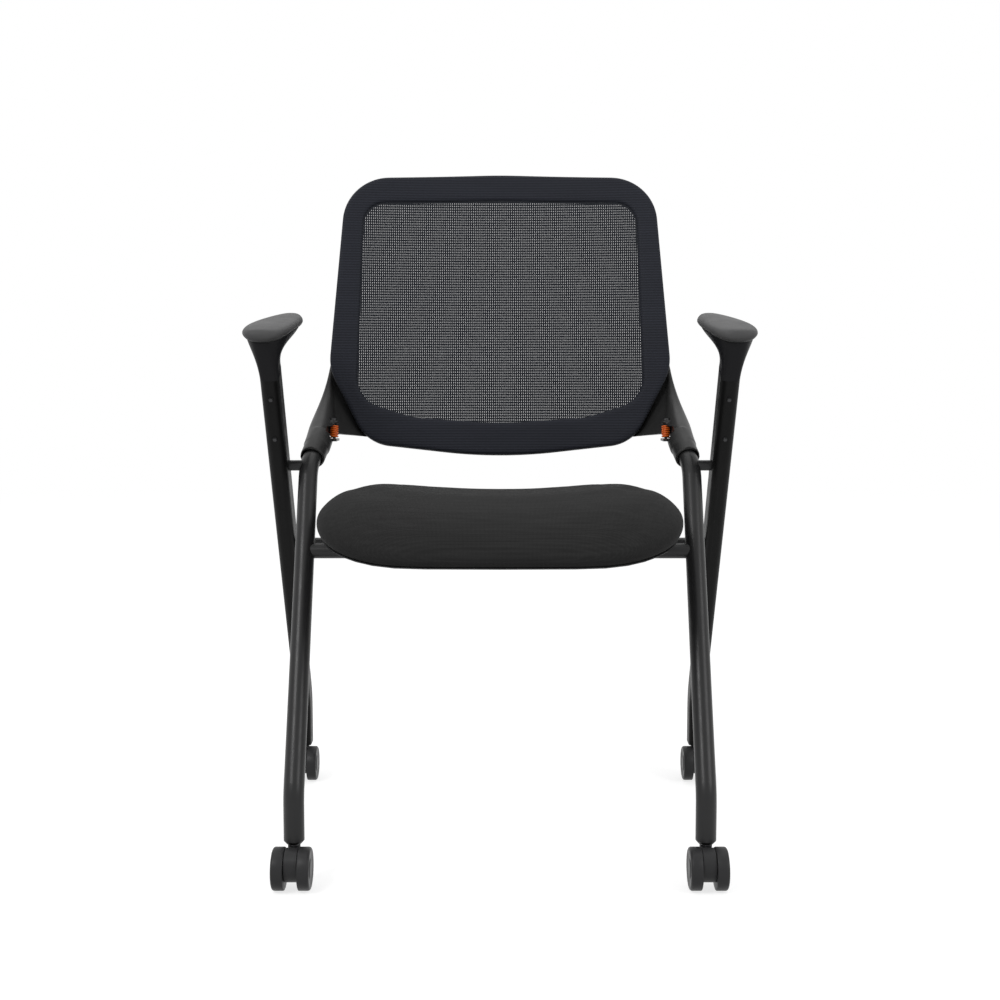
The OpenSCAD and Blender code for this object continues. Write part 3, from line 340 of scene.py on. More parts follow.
def heading(lean, toe):
    lean, toe = math.radians(lean), math.radians(toe)
    return Vector((math.sin(toe) * math.sin(lean), math.cos(toe) * math.sin(lean), math.cos(lean)))


def curve_through(points, t):
    """Catmull-Rom curve through points, t from 0 to 1."""
    n = len(points) - 1
    i = min(int(t * n), n - 1)
    f = t * n - i
    p = [points[max(0, min(n, i + k))] for k in (-1, 0, 1, 2)]
    return tuple(0.5 * (2 * b + (c - a) * f + (2 * a - 5 * b + 4 * c - d) * f * f
                        + (3 * b - a - 3 * c + d) * f ** 3) for a, b, c, d in zip(*p))


def new_piece(name, bm, body, material, replaced=(), smooth=True, mirror=False):
    """Finishes a mesh as a piece that rides on a body."""
    bmesh.ops.recalc_face_normals(bm, faces=bm.faces)
    mesh = bpy.data.meshes.new(name)
    bm.to_mesh(mesh)
    bm.free()
    if mirror:
        mesh.transform(Matrix.Scale(-1, 4, (1, 0, 0)))
        mesh.flip_normals()
    for poly in mesh.polygons:
        poly.use_smooth = smooth
    mesh.materials.append(material)
    obj = bpy.data.objects.new(name, mesh)
    bpy.context.scene.collection.objects.link(obj)
    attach(obj, body)
    if replaced:
        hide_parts(*replaced)
    return obj


def skin(bm, rings, around=False):
    """Quads through rings of points; the ends are fanned shut, or the last ring meets the first."""
    rows = [[bm.verts.new(at(p)) for p in ring] for ring in rings]
    n = len(rows[0])
    pairs = list(zip(rows, rows[1:])) + ([(rows[-1], rows[0])] if around else [])
    for a, b in pairs:
        for j in range(n):
            k = (j + 1) % n
            bm.faces.new((a[j], a[k], b[k], b[j]))
    if not around:
        for row in (rows[0], rows[-1]):
            mid = bm.verts.new(sum((v.co for v in row), Vector()) / n)
            for j in range(n):
                bm.faces.new((row[j], row[(j + 1) % n], mid))


def apply_modifiers(obj):
    dg = bpy.context.evaluated_depsgraph_get()
    mesh = bpy.data.meshes.new_from_object(obj.evaluated_get(dg))
    old = obj.data
    obj.modifiers.clear()
    obj.data = mesh
    bpy.data.meshes.remove(old)


# Backrest outline
BACK_HALF_W, BACK_TOP_Z, BACK_LOW_Z = 243, 908, 500.5
BACK_H = BACK_TOP_Z - BACK_LOW_Z
LEAN = math.radians(13.3)
BACK_Y, BACK_DISH = 350, 26
RIM_SIDE_W, RIM_TOP_W, RIM_LOW_W, RIM_T, COVER_T = 42, 39, 46, 15, 1.2
RIM_CORNERS = [(0, 1), (0.922, 0.982), (1.004, 0.30), (0.78, 0.04), (0, -0.014)]
RIM_RADII = [900, 68, 70, 60, 700]
WINDOW_CORNERS = [(0, 1), (0.985, 0.985), (1.02, 0.10), (0.62, 0.02), (0, -0.008)]
WINDOW_RADII = [700, 32, 44, 90, 500]
ARC_STEPS = 24


def rounded(corners, radii):
    """Outline through rounded corners, mirrored about the middle."""
    left = [(-x, z) for x, z in corners[-2:0:-1]]
    corners = [Vector(c) for c in corners + left]
    radii = radii + radii[-2:0:-1]
    line = []
    for i, b in enumerate(corners):
        u = (b - corners[i - 1]).normalized()
        v = (corners[(i + 1) % len(corners)] - b).normalized()
        turn = math.acos(clamp(u.dot(v), -1, 1))
        inward = (v - u.dot(v) * u).normalized()
        centre = b - radii[i] * math.tan(turn / 2) * u + radii[i] * inward
        line += [centre - radii[i] * math.cos(t) * inward + radii[i] * math.sin(t) * u
                 for t in (turn * k / ARC_STEPS for k in range(ARC_STEPS + 1))]
    return line


class Outline:
    """Closed line that gives the point at a share of its length, from the middle of the top."""

    def __init__(self, line):
        self.line = line
        self.ways = [0.0]
        for a, b in zip(line, line[1:] + line[:1]):
            self.ways.append(self.ways[-1] + (b - a).length)
        self.start = self.ways[ARC_STEPS // 2]

    def at(self, share):
        way = (self.start + share * self.ways[-1]) % self.ways[-1]
        i = bisect.bisect_right(self.ways, way) - 1
        a, b = self.line[i], self.line[(i + 1) % len(self.line)]
        return a.lerp(b, (way - self.ways[i]) / max(1e-9, self.ways[i + 1] - self.ways[i]))

    def half_w(self, z):
        best = 0.0
        for p, q in zip(self.line, self.line[1:] + self.line[:1]):
            if (p.y - z) * (q.y - z) <= 0 and p.y != q.y:
                best = max(best, lerp(p.x, q.x, (z - p.y) / (q.y - p.y)))
        return best

    def holds(self, x, z):
        inside = False
        for p, q in zip(self.line, self.line[1:] + self.line[:1]):
            if (p.y > z) != (q.y > z) and x < lerp(p.x, q.x, (z - p.y) / (q.y - p.y)):
                inside = not inside
        return inside


RIM = Outline(rounded([(x * BACK_HALF_W, BACK_LOW_Z + z * BACK_H) for x, z in RIM_CORNERS],
                      RIM_RADII))
WIN_W, WIN_LOW = BACK_HALF_W - RIM_SIDE_W, BACK_LOW_Z + RIM_LOW_W
WIN_H = BACK_H - RIM_TOP_W - RIM_LOW_W
WINDOW = Outline(rounded([(x * WIN_W, WIN_LOW + z * WIN_H) for x, z in WINDOW_CORNERS],
                         WINDOW_RADII))


def back_depth(x, z):
    return (BACK_Y + math.tan(LEAN) * (z - BACK_LOW_Z)
            + BACK_DISH * (1 - (x / BACK_HALF_W) ** 2))


def on_back(x, z, depth):
    return Vector((x, back_depth(x, z) + depth * math.cos(LEAN), z - depth * math.sin(LEAN)))


def rim_ring(share, shape):
    """Section of the frame: (share of half the width, step in mm, depth in mm) for each point."""
    outer, inner = RIM.at(share), WINDOW.at(share)
    w = (outer - inner).length
    ring = []
    for across, step, depth in shape:
        p = inner.lerp(outer, 0.5) + (outer - inner) / w * (across * w / 2 + step)
        ring.append(on_back(p.x, p.y, depth))
    return ring


# Knit cover of the frame
COVER_REACH = RIM_T * 0.62
COVER_R, COVER_CROWN, COVER_STATIONS = 4.6, 0.35, 400


def cover_profile(inset):
    """Half-round edges and a slightly crowned front, from the outer back to the inner back."""
    r = COVER_R - inset
    side = [(1, -inset, COVER_REACH), (1, -inset, (COVER_REACH + COVER_R) / 2)]
    arc = [(1, -inset - r + r * math.cos(a), COVER_R - r * math.sin(a))
           for a in (math.radians(15 * k) for k in range(6))]
    face = [(s, 0, inset - COVER_CROWN * (1 - s * s)) for s in (0.72, 0.5, 0.25, 0.0)]
    half = side + arc + face
    return half + [(-s, -d, h) for s, d, h in reversed(half[:-1])]


def make_cover():
    outside = cover_profile(0)
    inside = cover_profile(COVER_T)[::-1]
    bm = bmesh.new()
    skin(bm, [rim_ring(i / COVER_STATIONS, outside + inside) for i in range(COVER_STATIONS)],
         around=True)
    cover = new_piece("knit_cover", bm, "back", COVER_KNIT, ["rim_cover"])


# Net in the window
NET_ROW, NET_COLUMN = 3.8, 2.8
NET_RIB, NET_GAP = 1.9, 0.42
NET_T = 0.5
NET_DEPTH = RIM_T * 0.2
NET_LAP = 2.5
NET_MARGIN, NET_WIDEST, NET_SAG = 8, 1.04, 0.12
WIN_MID = WIN_LOW + WIN_H / 2


def make_net():
    """Solid ribs with fine threads between them, cut to the window."""
    columns = int(WIN_W * NET_WIDEST / NET_COLUMN) + 2
    low, rows = WIN_LOW - NET_MARGIN, int((WIN_H + 2 * NET_MARGIN) / NET_ROW)
    grid = {}
    bm = bmesh.new()

    def vert(i, side_i, j, side_j):
        key = (2 * i + side_i, 2 * j + side_j)
        if key not in grid:
            x = i * NET_COLUMN + side_i * NET_GAP
            z = low + j * NET_ROW + side_j * NET_RIB
            grid[key] = bm.verts.new(at(on_back(x, z, NET_DEPTH + sag(x, z))))
        return grid[key]

    def sag(x, z):
        return NET_SAG * noise.noise(Vector((x * 0.05, z * 0.03, 2.0)))

    for j in range(rows):
        for i in range(-columns, columns):
            x, z = (i + 0.5) * NET_COLUMN, low + (j + 0.5) * NET_ROW
            reach = 1 - NET_LAP / math.hypot(x, z - WIN_MID)
            if not WINDOW.holds(x * reach, (z - WIN_MID) * reach + WIN_MID):
                continue
            a, b, c = vert(i, 0, j, 0), vert(i, 1, j, 0), vert(i + 1, 0, j, 0)
            d, e, f = vert(i, 0, j, 1), vert(i, 1, j, 1), vert(i + 1, 0, j, 1)
            g, h = vert(i, 1, j + 1, 0), vert(i + 1, 0, j + 1, 0)
            bm.faces.new((a, b, e, d))
            bm.faces.new((b, c, f, e))
            bm.faces.new((e, f, h, g))
    net = new_piece("back_net", bm, "back", NET_KNIT, ["back_mesh"], smooth=False)
    solid = net.modifiers.new("thickness", "SOLIDIFY")
    solid.thickness = NET_T * MM
    solid.offset = 0
    apply_modifiers(net)


# Seat cushion
SEAT_W, SEAT_FRONT, SEAT_L = 217, -18, 423
SEAT_LOW, SEAT_TOP = 397, 464
SEAT_MID = SEAT_FRONT + SEAT_L / 2
UNDER_RISE, UNDER_FLAT, UNDER_DROP, UNDER_L = 13, 0.54, 16, 110
SADDLE, SEAT_FALL, WATER_DROP, WATER_L = 22, 0.04, 16, 120
CUSHION_LIFT = 3.3
SEAT_POWER, SEAT_NARROW, UNDER_POWER = 4, 0.14, 1.6
SIDE_TAPER, TAPER_BASE, TAPER_FROM, TAPER_SPAN = 0.03, 0.3, 0.3, 0.5
CUSHION_SIDES, CUSHION_STEPS = 144, 60
WIDE_DENT, FINE_DENT, DENT_FROM, DENT_SPAN = 0.5, 0.15, 0.42, 0.03
CUSHION_EDGE = [(0.955, 0), (0.985, 0.10), (1, 0.25), (0.993, 0.41), (0.975, 0.56),
                (0.945, 0.70), (0.90, 0.825), (0.84, 0.92), (0.735, 0.98), (0.52, 1), (0.25, 1)]


def seat_point(a, scale):
    along = squared(math.sin(a), SEAT_POWER)
    x = SEAT_W * squared(math.cos(a), SEAT_POWER) * (1 - SEAT_NARROW * along)
    return x * scale, SEAT_MID + SEAT_L / 2 * along * scale


def seat_low(x, y):
    out = max(0, abs(x) / SEAT_W - UNDER_FLAT) / (1 - UNDER_FLAT)
    fore = clamp((SEAT_FRONT + UNDER_L - y) / UNDER_L)
    return SEAT_LOW + UNDER_RISE * out * out - UNDER_DROP * fore ** UNDER_POWER


def seat_top(x, y):
    fore = clamp((SEAT_FRONT + WATER_L - y) / WATER_L)
    return SEAT_TOP + SADDLE * (x / SEAT_W) ** 2 - SEAT_FALL * y - WATER_DROP * fore * fore


def cushion_ring(scale, height):
    ring = []
    for j in range(CUSHION_SIDES):
        x, y = seat_point(2 * math.pi * j / CUSHION_SIDES, scale)
        low = seat_low(x, y) + CUSHION_LIFT
        narrow = 1 - SIDE_TAPER * (TAPER_BASE + ease(clamp((height - TAPER_FROM) / TAPER_SPAN)))
        ring.append((x * narrow, y, lerp(low, seat_top(x, y), height)))
    return ring


SWELL_FRAMES, SWELL_START, SWELL_CAP = 16, 2.5 * MM, 3 * MM
SWELL_PRESSURE, CLOTH_QUALITY, EASE_TIMES = 4, 6, 8
HELD_START, HELD_RINGS = 1.5, 12


def swell(piece, held):
    """Lets the foam fill its cloth: a cloth simulation from a slightly smaller form, with the
    points whose share in held is 1 kept in place, and no point further than a cap from its own.
    What it wrinkles is eased out at the end."""
    points = piece.data.vertices
    drawn = [v.co.copy() for v in points]
    group = piece.vertex_groups.new(name="held")
    for v in points:
        group.add([v.index], held[v.index], "REPLACE")
    inward = [v.normal * -SWELL_START * (1 - held[v.index]) for v in points]
    for v, step in zip(points, inward):
        v.co += step
    cloth = piece.modifiers.new("cloth", "CLOTH")
    cloth.settings.quality = CLOTH_QUALITY
    cloth.settings.use_pressure = True
    cloth.settings.uniform_pressure_force = SWELL_PRESSURE
    cloth.settings.vertex_group_mass = "held"
    cloth.settings.effector_weights.gravity = 0
    cloth.point_cache.frame_end = SWELL_FRAMES
    for step in range(1, SWELL_FRAMES + 1):
        bpy.context.scene.frame_set(step)
    swollen = piece.evaluated_get(bpy.context.evaluated_depsgraph_get()).to_mesh()
    moved = [v.co.copy() for v in swollen.vertices]
    piece.modifiers.remove(cloth)
    piece.vertex_groups.remove(group)
    bpy.context.scene.frame_set(1)
    for v, home, now in zip(piece.data.vertices, drawn, moved):
        step = now - home
        v.co = home + step * min(1, SWELL_CAP / max(step.length, 1e-9))
    eased = piece.modifiers.new("ease", "SMOOTH")
    eased.factor, eased.iterations = 0.5, EASE_TIMES
    apply_modifiers(piece)


def make_cushion():
    """Foam under close cloth: taut on top, with the cloth drawn in round the shell's edge."""
    rings = [cushion_ring(s, 0) for s in (0.5, 0.8, 0.9, 0.935)]
    rings += [cushion_ring(*curve_through(CUSHION_EDGE, i / CUSHION_STEPS))
              for i in range(CUSHION_STEPS + 1)]
    rings += [cushion_ring(s, 1) for s in (0.18, 0.1, 0.04)]
    bm = bmesh.new()
    skin(bm, rings)
    for v in bm.verts:
        p = v.co
        wide = noise.noise(Vector((p.x * 9, p.y * 7, p.z * 3)))
        fine = noise.noise(Vector((p.x * 30, p.y * 22, 5.0)))
        lift = (WIDE_DENT * wide + FINE_DENT * fine) * MM
        v.co.z += lift * ease(clamp((p.z - DENT_FROM) / DENT_SPAN))
    cushion = new_piece("cushion", bm, "seat", SEAT_CLOTH, ["seat_cushion"])
    held = [clamp(HELD_START - (k // CUSHION_SIDES) / HELD_RINGS)
            for k in range(len(rings) * CUSHION_SIDES)]
    swell(cushion, held + [1.0, 0.0])


# Armrests
REAR_X, REAR_Y, ANKLE_Z = 300, 485, 122
RAIL_LEAN, RAIL_TOE = math.radians(33.8), math.radians(1.7)
RAIL_W, RAIL_D, RAIL_TOP_Z, RUN_GAP = 24, 40, 614, 0.05
PAD_L, PAD_W, PAD_T, PAD_RISE = 205, 61, 17, math.radians(8)
PAD_Z, PAD_Y, PAD_INSET = 650, 116, 24.5
PAD_SINK, PAD_BOWL, PAD_CROWN, PAD_NOSE = 1.5, 7, 3, 4
BOWL_POWER, PAD_POWER, NOSE_POWER = 2.4, 3.6, 2.5
PAD_TAPER, TAPER_POWER = 0.30, 2.6
PAD_SIDES, PAD_STEPS = 128, 40
ARM_L_SHARE, ARM_W_SHARE, ARM_SETBACK, FLARE_POWER = 0.88, 0.95, 0.035, 2.2
RAIL_POWER, ARM_TOP_POWER, BOWL_START = 5, 2.6, 5
ARM_SIDES, ARM_STATIONS, ARM_PROUD = 96, 40, 0.25
RAIL_UP = Vector((-math.sin(RAIL_TOE) * math.sin(RAIL_LEAN),
                  -math.cos(RAIL_TOE) * math.sin(RAIL_LEAN), math.cos(RAIL_LEAN)))
RAIL_SIDE = Vector((math.cos(RAIL_TOE), -math.sin(RAIL_TOE), 0))
RAIL_BACK = -RAIL_SIDE.cross(RAIL_UP)
PAD_DIR = Vector((0, math.cos(PAD_RISE), math.sin(PAD_RISE)))
PAD_UP = Vector((0, -math.sin(PAD_RISE), math.cos(PAD_RISE)))
X_AXIS = Vector((1, 0, 0))


def rail_at(z):
    return Vector((REAR_X, REAR_Y, ANKLE_Z)) + RAIL_UP * (z - ANKLE_Z) / RAIL_UP.z


PAD_X = rail_at(PAD_Z).x
RAIL_TOP = rail_at(RAIL_TOP_Z)


def pad_half_w(along):
    """Half width of the pad: along goes from -1 at its nose to 1 at its tail."""
    return PAD_W / 2 * (1 - PAD_TAPER * ((along + 1) / 2) ** TAPER_POWER)


def arm_ring(t, grow):
    """Section of the arm bracket: its top dips in the middle, as the pad's underside does."""
    u = clamp(t)
    front_low = RAIL_TOP - RAIL_D / 2 * RAIL_BACK + RUN_GAP * RAIL_UP
    front_high = (Vector((PAD_X + PAD_W / 2 - PAD_INSET, PAD_Y, PAD_Z))
                  + PAD_L * ARM_SETBACK * PAD_DIR)
    half_l = lerp(RAIL_D / 2, PAD_L * ARM_L_SHARE / 2, u ** FLARE_POWER) + grow
    half_w = lerp(RAIL_W / 2, PAD_W * ARM_W_SHARE / 2, u ** FLARE_POWER) + grow
    along = RAIL_BACK.lerp(PAD_DIR, ease(u)).normalized()
    across = RAIL_SIDE.lerp(X_AXIS, ease(u)).normalized()
    power = lerp(RAIL_POWER, ARM_TOP_POWER, u)
    mid = front_low.lerp(front_high, t) + (half_l - grow) * along
    ring = []
    for a in (2 * math.pi * j / ARM_SIDES for j in range(ARM_SIDES)):
        side = squared(math.cos(a), power)
        lift = (PAD_BOWL * abs(side) ** BOWL_POWER - PAD_SINK / 2) * u ** BOWL_START
        ring.append(mid + half_w * side * across + half_l * squared(math.sin(a), power) * along
                    + lift * PAD_UP)
    return ring


def make_arm_bracket(name, mirror):
    bm = bmesh.new()
    rings = [arm_ring(-0.02, -0.6), arm_ring(-0.012, ARM_PROUD)]
    rings += [arm_ring(t, ARM_PROUD * (1 - t))
              for t in (i / ARM_STATIONS for i in range(ARM_STATIONS + 1))]
    skin(bm, rings)
    new_piece("arm_bracket_%s_moulding" % name, bm, "frame", ARM_BLACK,
              ["arm_bracket_" + name], mirror=mirror)


PAD_EDGE = [(0.62, 0), (0.80, 0.05), (0.92, 0.17), (0.985, 0.34), (1, 0.50), (0.99, 0.66),
            (0.96, 0.80), (0.91, 0.91), (0.85, 0.97), (0.76, 1)]


def pad_ring(scale, height, inner=1.0):
    """Ring of the pad's skin: its underside is a bowl, and its top is crowned."""
    ring = []
    edge = PAD_W / 2 * (1 - scale)
    middle = Vector((pad_half_w(0), 0))
    for j in range(PAD_SIDES):
        a = 2 * math.pi * j / PAD_SIDES
        along = squared(math.sin(a), PAD_POWER)
        half_w = pad_half_w(along)
        side = squared(math.cos(a), PAD_POWER) * max(0.25, 1 - edge / half_w)
        place = middle.lerp(Vector((half_w * (1 + side), (PAD_L / 2 - edge) * along)), inner)
        low = PAD_BOWL * abs(side) ** BOWL_POWER - PAD_SINK
        fore = clamp(-2 * place.y / PAD_L)
        high = PAD_T - 1 + PAD_CROWN * (1 - (side * inner) ** 2) - PAD_NOSE * fore ** NOSE_POWER
        ring.append(Vector((PAD_X - PAD_INSET + place.x, PAD_Y, PAD_Z))
                    + (PAD_L / 2 + place.y) * PAD_DIR + (FIT + lerp(low, high, height)) * PAD_UP)
    return ring


def make_arm_pad(name, mirror):
    bm = bmesh.new()
    rings = [pad_ring(*PAD_EDGE[0], inner) for inner in (0.2, 0.5, 0.8)]
    rings += [pad_ring(*curve_through(PAD_EDGE, i / PAD_STEPS)) for i in range(PAD_STEPS + 1)]
    rings += [pad_ring(*PAD_EDGE[-1], inner) for inner in (0.9, 0.75, 0.6, 0.45, 0.3, 0.15, 0.05)]
    skin(bm, rings)
    pad = new_piece("arm_pad_%s_soft" % name, bm, "frame", PAD_GREY,
                    ["arm_pad_" + name], mirror=mirror)


# Back brackets
LEG_D, SLEEVE_GAP, SLEEVE_WALL, SLEEVE_L = 25, 1.9, 2.3, 50
LEG_LEAN, LEG_TOE, END_LEAN, END_TOE = 29.6, 2, 59, -8.5
LEG_ANKLE, SHOULDER_Z, END_L = Vector((247, 20, 108)), 490, 70
LEG_UP, END_DIR = heading(LEG_LEAN, LEG_TOE), heading(END_LEAN, END_TOE)
LEG_SHOULDER = LEG_ANKLE + LEG_UP * (SHOULDER_Z - LEG_ANKLE.z) / LEG_UP.z
LEG_END = LEG_SHOULDER + END_L * END_DIR
SLEEVE_R = LEG_D / 2 + SLEEVE_GAP + SLEEVE_WALL
SLEEVE_MOUTH = LEG_END - SLEEVE_L * END_DIR
WING_T, WING_ROOT_T, WING_LAP, WING_DROP, WING_START = 10, 28, 16, 12, 0.27
WING_BEND_OUT, WING_BEND_BACK = 24, 12
WING_TIP_SHARE, BEND_POWER, WING_ROOM, WING_SHARE = 0.8, 0.6, 0.1, 8
WING_STATIONS, WING_SIDES = 32, 56
NECK_REACH, NECK_RUN, NECK_EDGE = 1.32, 110, 2.5
NECK_FROM, NECK_OUT, NECK_FALL, NECK_BELLY = 0.5, 1.35, 62, 10
NECK_TIP_W, NECK_TIP_D, NECK_END = 4, 5, 1.5
NECK_STATIONS, NECK_SIDES, TUBE_SIDES = 40, 72, 64
NECK_TOP_IN, NECK_TOP_SHARE = 2, 0.31
NECK_TOP = on_back(BACK_HALF_W - NECK_TOP_IN, BACK_LOW_Z + NECK_TOP_SHARE * BACK_H,
                   RIM_T + WING_T / 2)
SPRING_D, WIRE_D, SPRING_TURNS, SPRING_L = 12, 2.3, 6, 19
SPRING_OUT, SPRING_BACK, SPRING_DROP, SPRING_SWING = 1.5, 28, 2, 2.6
SPRING_AT = Vector((LEG_END.x - SLEEVE_R + SPRING_OUT, LEG_END.y + SPRING_BACK,
                    LEG_END.z - SPRING_DROP))
BOSS_T, BOSS_WALL, SPRING_ROOM, BOLT_HOLE, BOLT_RECESS = 6, 1, 2, 5, 11
TAB_LOW, TAB_HIGH = Vector((-9, -33, -3 - FIT)), Vector((22, 9, 3.5))
NOTCH_LOW, NOTCH_OUT = Vector((-5.5, -40, 0)), 7
MELT_VOXEL, MELT_TIMES, SLOT_SIDES = 1.1, 22, 40


def neck_curve(t):
    """Middle line of the swan neck; past 1 it runs on up the frame's edge."""
    back_up = Vector((0, math.sin(LEAN), math.cos(LEAN)))
    if t > 1:
        z = NECK_TOP.z + NECK_RUN * (t - 1)
        return Vector((lerp(NECK_TOP.x, RIM.half_w(z) - NECK_EDGE, clamp((t - 1) / 0.1)),
                       NECK_TOP.y + NECK_RUN * (t - 1) * math.tan(LEAN), z))
    a = SLEEVE_MOUTH + SLEEVE_L * NECK_FROM * END_DIR
    b = SLEEVE_MOUTH + SLEEVE_L * NECK_OUT * END_DIR
    c = NECK_TOP - NECK_FALL * back_up + NECK_BELLY * X_AXIS
    d = NECK_TOP
    ab, bc, cd = a.lerp(b, t), b.lerp(c, t), c.lerp(d, t)
    return ab.lerp(bc, t).lerp(bc.lerp(cd, t), t)


def clear(p, room, share):
    """Moves a point of the bracket clear of the covered frame, outwards or rearwards."""
    deep = RIM_T + FIT + room
    fall = deep * math.sin(LEAN)
    edge = max(RIM.half_w(p.z), RIM.half_w(p.z + fall)) + FIT + room
    rear = back_depth(p.x, p.z + fall) + deep * math.cos(LEAN)
    out, back = edge - p.x, rear - p.y
    if out <= 0 or back <= 0:
        return p
    return Vector((edge, p.y, p.z)) if out * share < back else Vector((p.x, rear, p.z))


def neck_ring(t):
    way = (neck_curve(t + 0.01) - neck_curve(t - 0.01)).normalized()
    wide = (X_AXIS - X_AXIS.dot(way) * way).normalized()
    deep = way.cross(wide)
    half_w = lerp(SLEEVE_R + 1.5, NECK_TIP_W, ease(clamp((t - 0.25) / 0.75)))
    half_d = lerp(SLEEVE_R, NECK_TIP_D, ease(clamp((t - 0.1) / 0.9)))
    if t > 1:
        half_w, half_d = (lerp(v, NECK_END, (t - 1) / (NECK_REACH - 1)) for v in (half_w, half_d))
    return [clear(neck_curve(t) + half_w * math.cos(a) * wide + half_d * math.sin(a) * deep,
                  2 * FIT, 1)
            for a in (2 * math.pi * j / NECK_SIDES for j in range(NECK_SIDES))]


def wing_ring(low):
    """Section of the web that runs from the neck round the frame's edge to its back: low goes
    from 1 at the web's foot to 0 at its top."""
    t = lerp(1, WING_START, low)
    b = neck_curve(t)
    z = b.z - WING_DROP * low
    edge = RIM.half_w(z)
    middle = RIM_T + FIT + WING_T / 2
    a = on_back(edge - WING_LAP, z, middle)
    a = Vector((a.x, a.y, z))
    corner = on_back(edge, z, middle) + Vector((WING_BEND_OUT, WING_BEND_BACK, 0))
    bend = ((a + b) / 2).lerp(Vector((corner.x, corner.y, (z + b.z) / 2)), low ** BEND_POWER)
    root = lerp(WING_T * WING_TIP_SHARE, WING_ROOT_T, ease(low))
    ring = []
    for j in range(WING_SIDES):
        w = 2 * math.pi * j / WING_SIDES
        s = (math.cos(w) + 1) / 2
        along = (bend - a).lerp(b - bend, s).normalized()
        across = Vector((0, 0, 1)).cross(along).normalized()
        half_t = (lerp(WING_T, root, s) / 2 * math.copysign(1, math.sin(w))
                  * max(0.0, 1 - math.cos(w) ** 4) ** (1 / 3))
        ring.append(clear(a.lerp(bend, s).lerp(bend.lerp(b, s), s) + half_t * across,
                          WING_ROOM, WING_SHARE))
    return ring


def tube(start, end, radius):
    way = (end - start).normalized()
    wide = way.orthogonal().normalized()
    deep = way.cross(wide)
    return [[p + radius * (math.cos(a) * wide + math.sin(a) * deep)
             for a in (2 * math.pi * j / TUBE_SIDES for j in range(TUBE_SIDES))]
            for p in (start, end)]


def upright_slot(diameter, low, high):
    """Rings of an upright slot round the spring's axis, long enough for the swing."""
    r = diameter / 2
    outline = [(r * math.cos(a), r * math.sin(a) - (SPRING_SWING if math.sin(a) < 0 else 0))
               for a in (2 * math.pi * (j + 0.5) / SLOT_SIDES for j in range(SLOT_SIDES))]
    return [[SPRING_AT + Vector((x, y, z)) for x, y in outline] for z in (low, high)]


def cube_rings(low, high):
    corners = [(low.x, low.y), (high.x, low.y), (high.x, high.y), (low.x, high.y)]
    return [[Vector((x, y, z)) for x, y in corners] for z in (low.z, high.z)]


def solid_from(name, shells):
    bm = bmesh.new()
    for rings in shells:
        skin(bm, rings)
    bmesh.ops.recalc_face_normals(bm, faces=bm.faces)
    mesh = bpy.data.meshes.new(name)
    bm.to_mesh(mesh)
    bm.free()
    obj = bpy.data.objects.new(name, mesh)
    bpy.context.scene.collection.objects.link(obj)
    return obj


def make_back_brackets():
    """Sleeve, swan neck and wing grown into one moulding, bored for the tube and the spring."""
    boss_low = SPRING_L + 2 * FIT
    boss_high = boss_low + BOSS_T
    boss_r = SPRING_D / 2 + BOSS_WALL
    boss = tube(SPRING_AT + Vector((0, 0, boss_low)), SPRING_AT + Vector((0, 0, boss_high)),
                boss_r)
    arm = cube_rings(SPRING_AT + Vector((0, -boss_r / 2, boss_low)),
                     SPRING_AT + Vector((SLEEVE_R, boss_r * 0.9, boss_high)))
    body = solid_from("moulding", [
        tube(SLEEVE_MOUTH, SLEEVE_MOUTH + (SLEEVE_L + 4) * END_DIR, SLEEVE_R),
        [neck_ring(i / NECK_STATIONS * NECK_REACH) for i in range(NECK_STATIONS + 1)],
        [wing_ring(1 - i / WING_STATIONS) for i in range(WING_STATIONS + 1)], boss, arm])
    grown = body.modifiers.new("grow", "REMESH")
    grown.mode = "VOXEL"
    grown.voxel_size = MELT_VOXEL * MM
    eased = body.modifiers.new("ease", "SMOOTH")
    eased.factor, eased.iterations = 0.5, MELT_TIMES
    notch_high = Vector((NOTCH_OUT, 0, boss_low - SPRING_ROOM))
    bores = [tube(SLEEVE_MOUTH - 6 * END_DIR, LEG_END + 4 * END_DIR, LEG_D / 2 + SLEEVE_GAP),
             cube_rings(SPRING_AT + TAB_LOW, SPRING_AT + TAB_HIGH),
             cube_rings(SPRING_AT + NOTCH_LOW, SPRING_AT + notch_high),
             upright_slot(SPRING_D + SPRING_ROOM, 0, boss_low),
             upright_slot(BOLT_HOLE, 0, boss_high + 1),
             upright_slot(BOLT_RECESS, boss_high, boss_high + 7)]
    for k, rings in enumerate(bores):
        cutter = solid_from("bore_%d" % k, [rings])
        cut = body.modifiers.new("bore", "BOOLEAN")
        cut.operation, cut.object, cut.solver = "DIFFERENCE", cutter, "EXACT"
    apply_modifiers(body)
    for obj in [o for o in bpy.data.objects if o.name.startswith("bore_")]:
        bpy.data.objects.remove(obj)
    for name, mirror in (("left", False), ("right", True)):
        bm = bmesh.new()
        bm.from_mesh(body.data)
        piece = new_piece("back_bracket_" + name + "_moulding", bm, "back", MOULD_BLACK,
                          ["back_bracket_" + name], mirror=mirror)
        piece.data.set_sharp_from_angle(angle=math.radians(40))
    bpy.data.objects.remove(body)


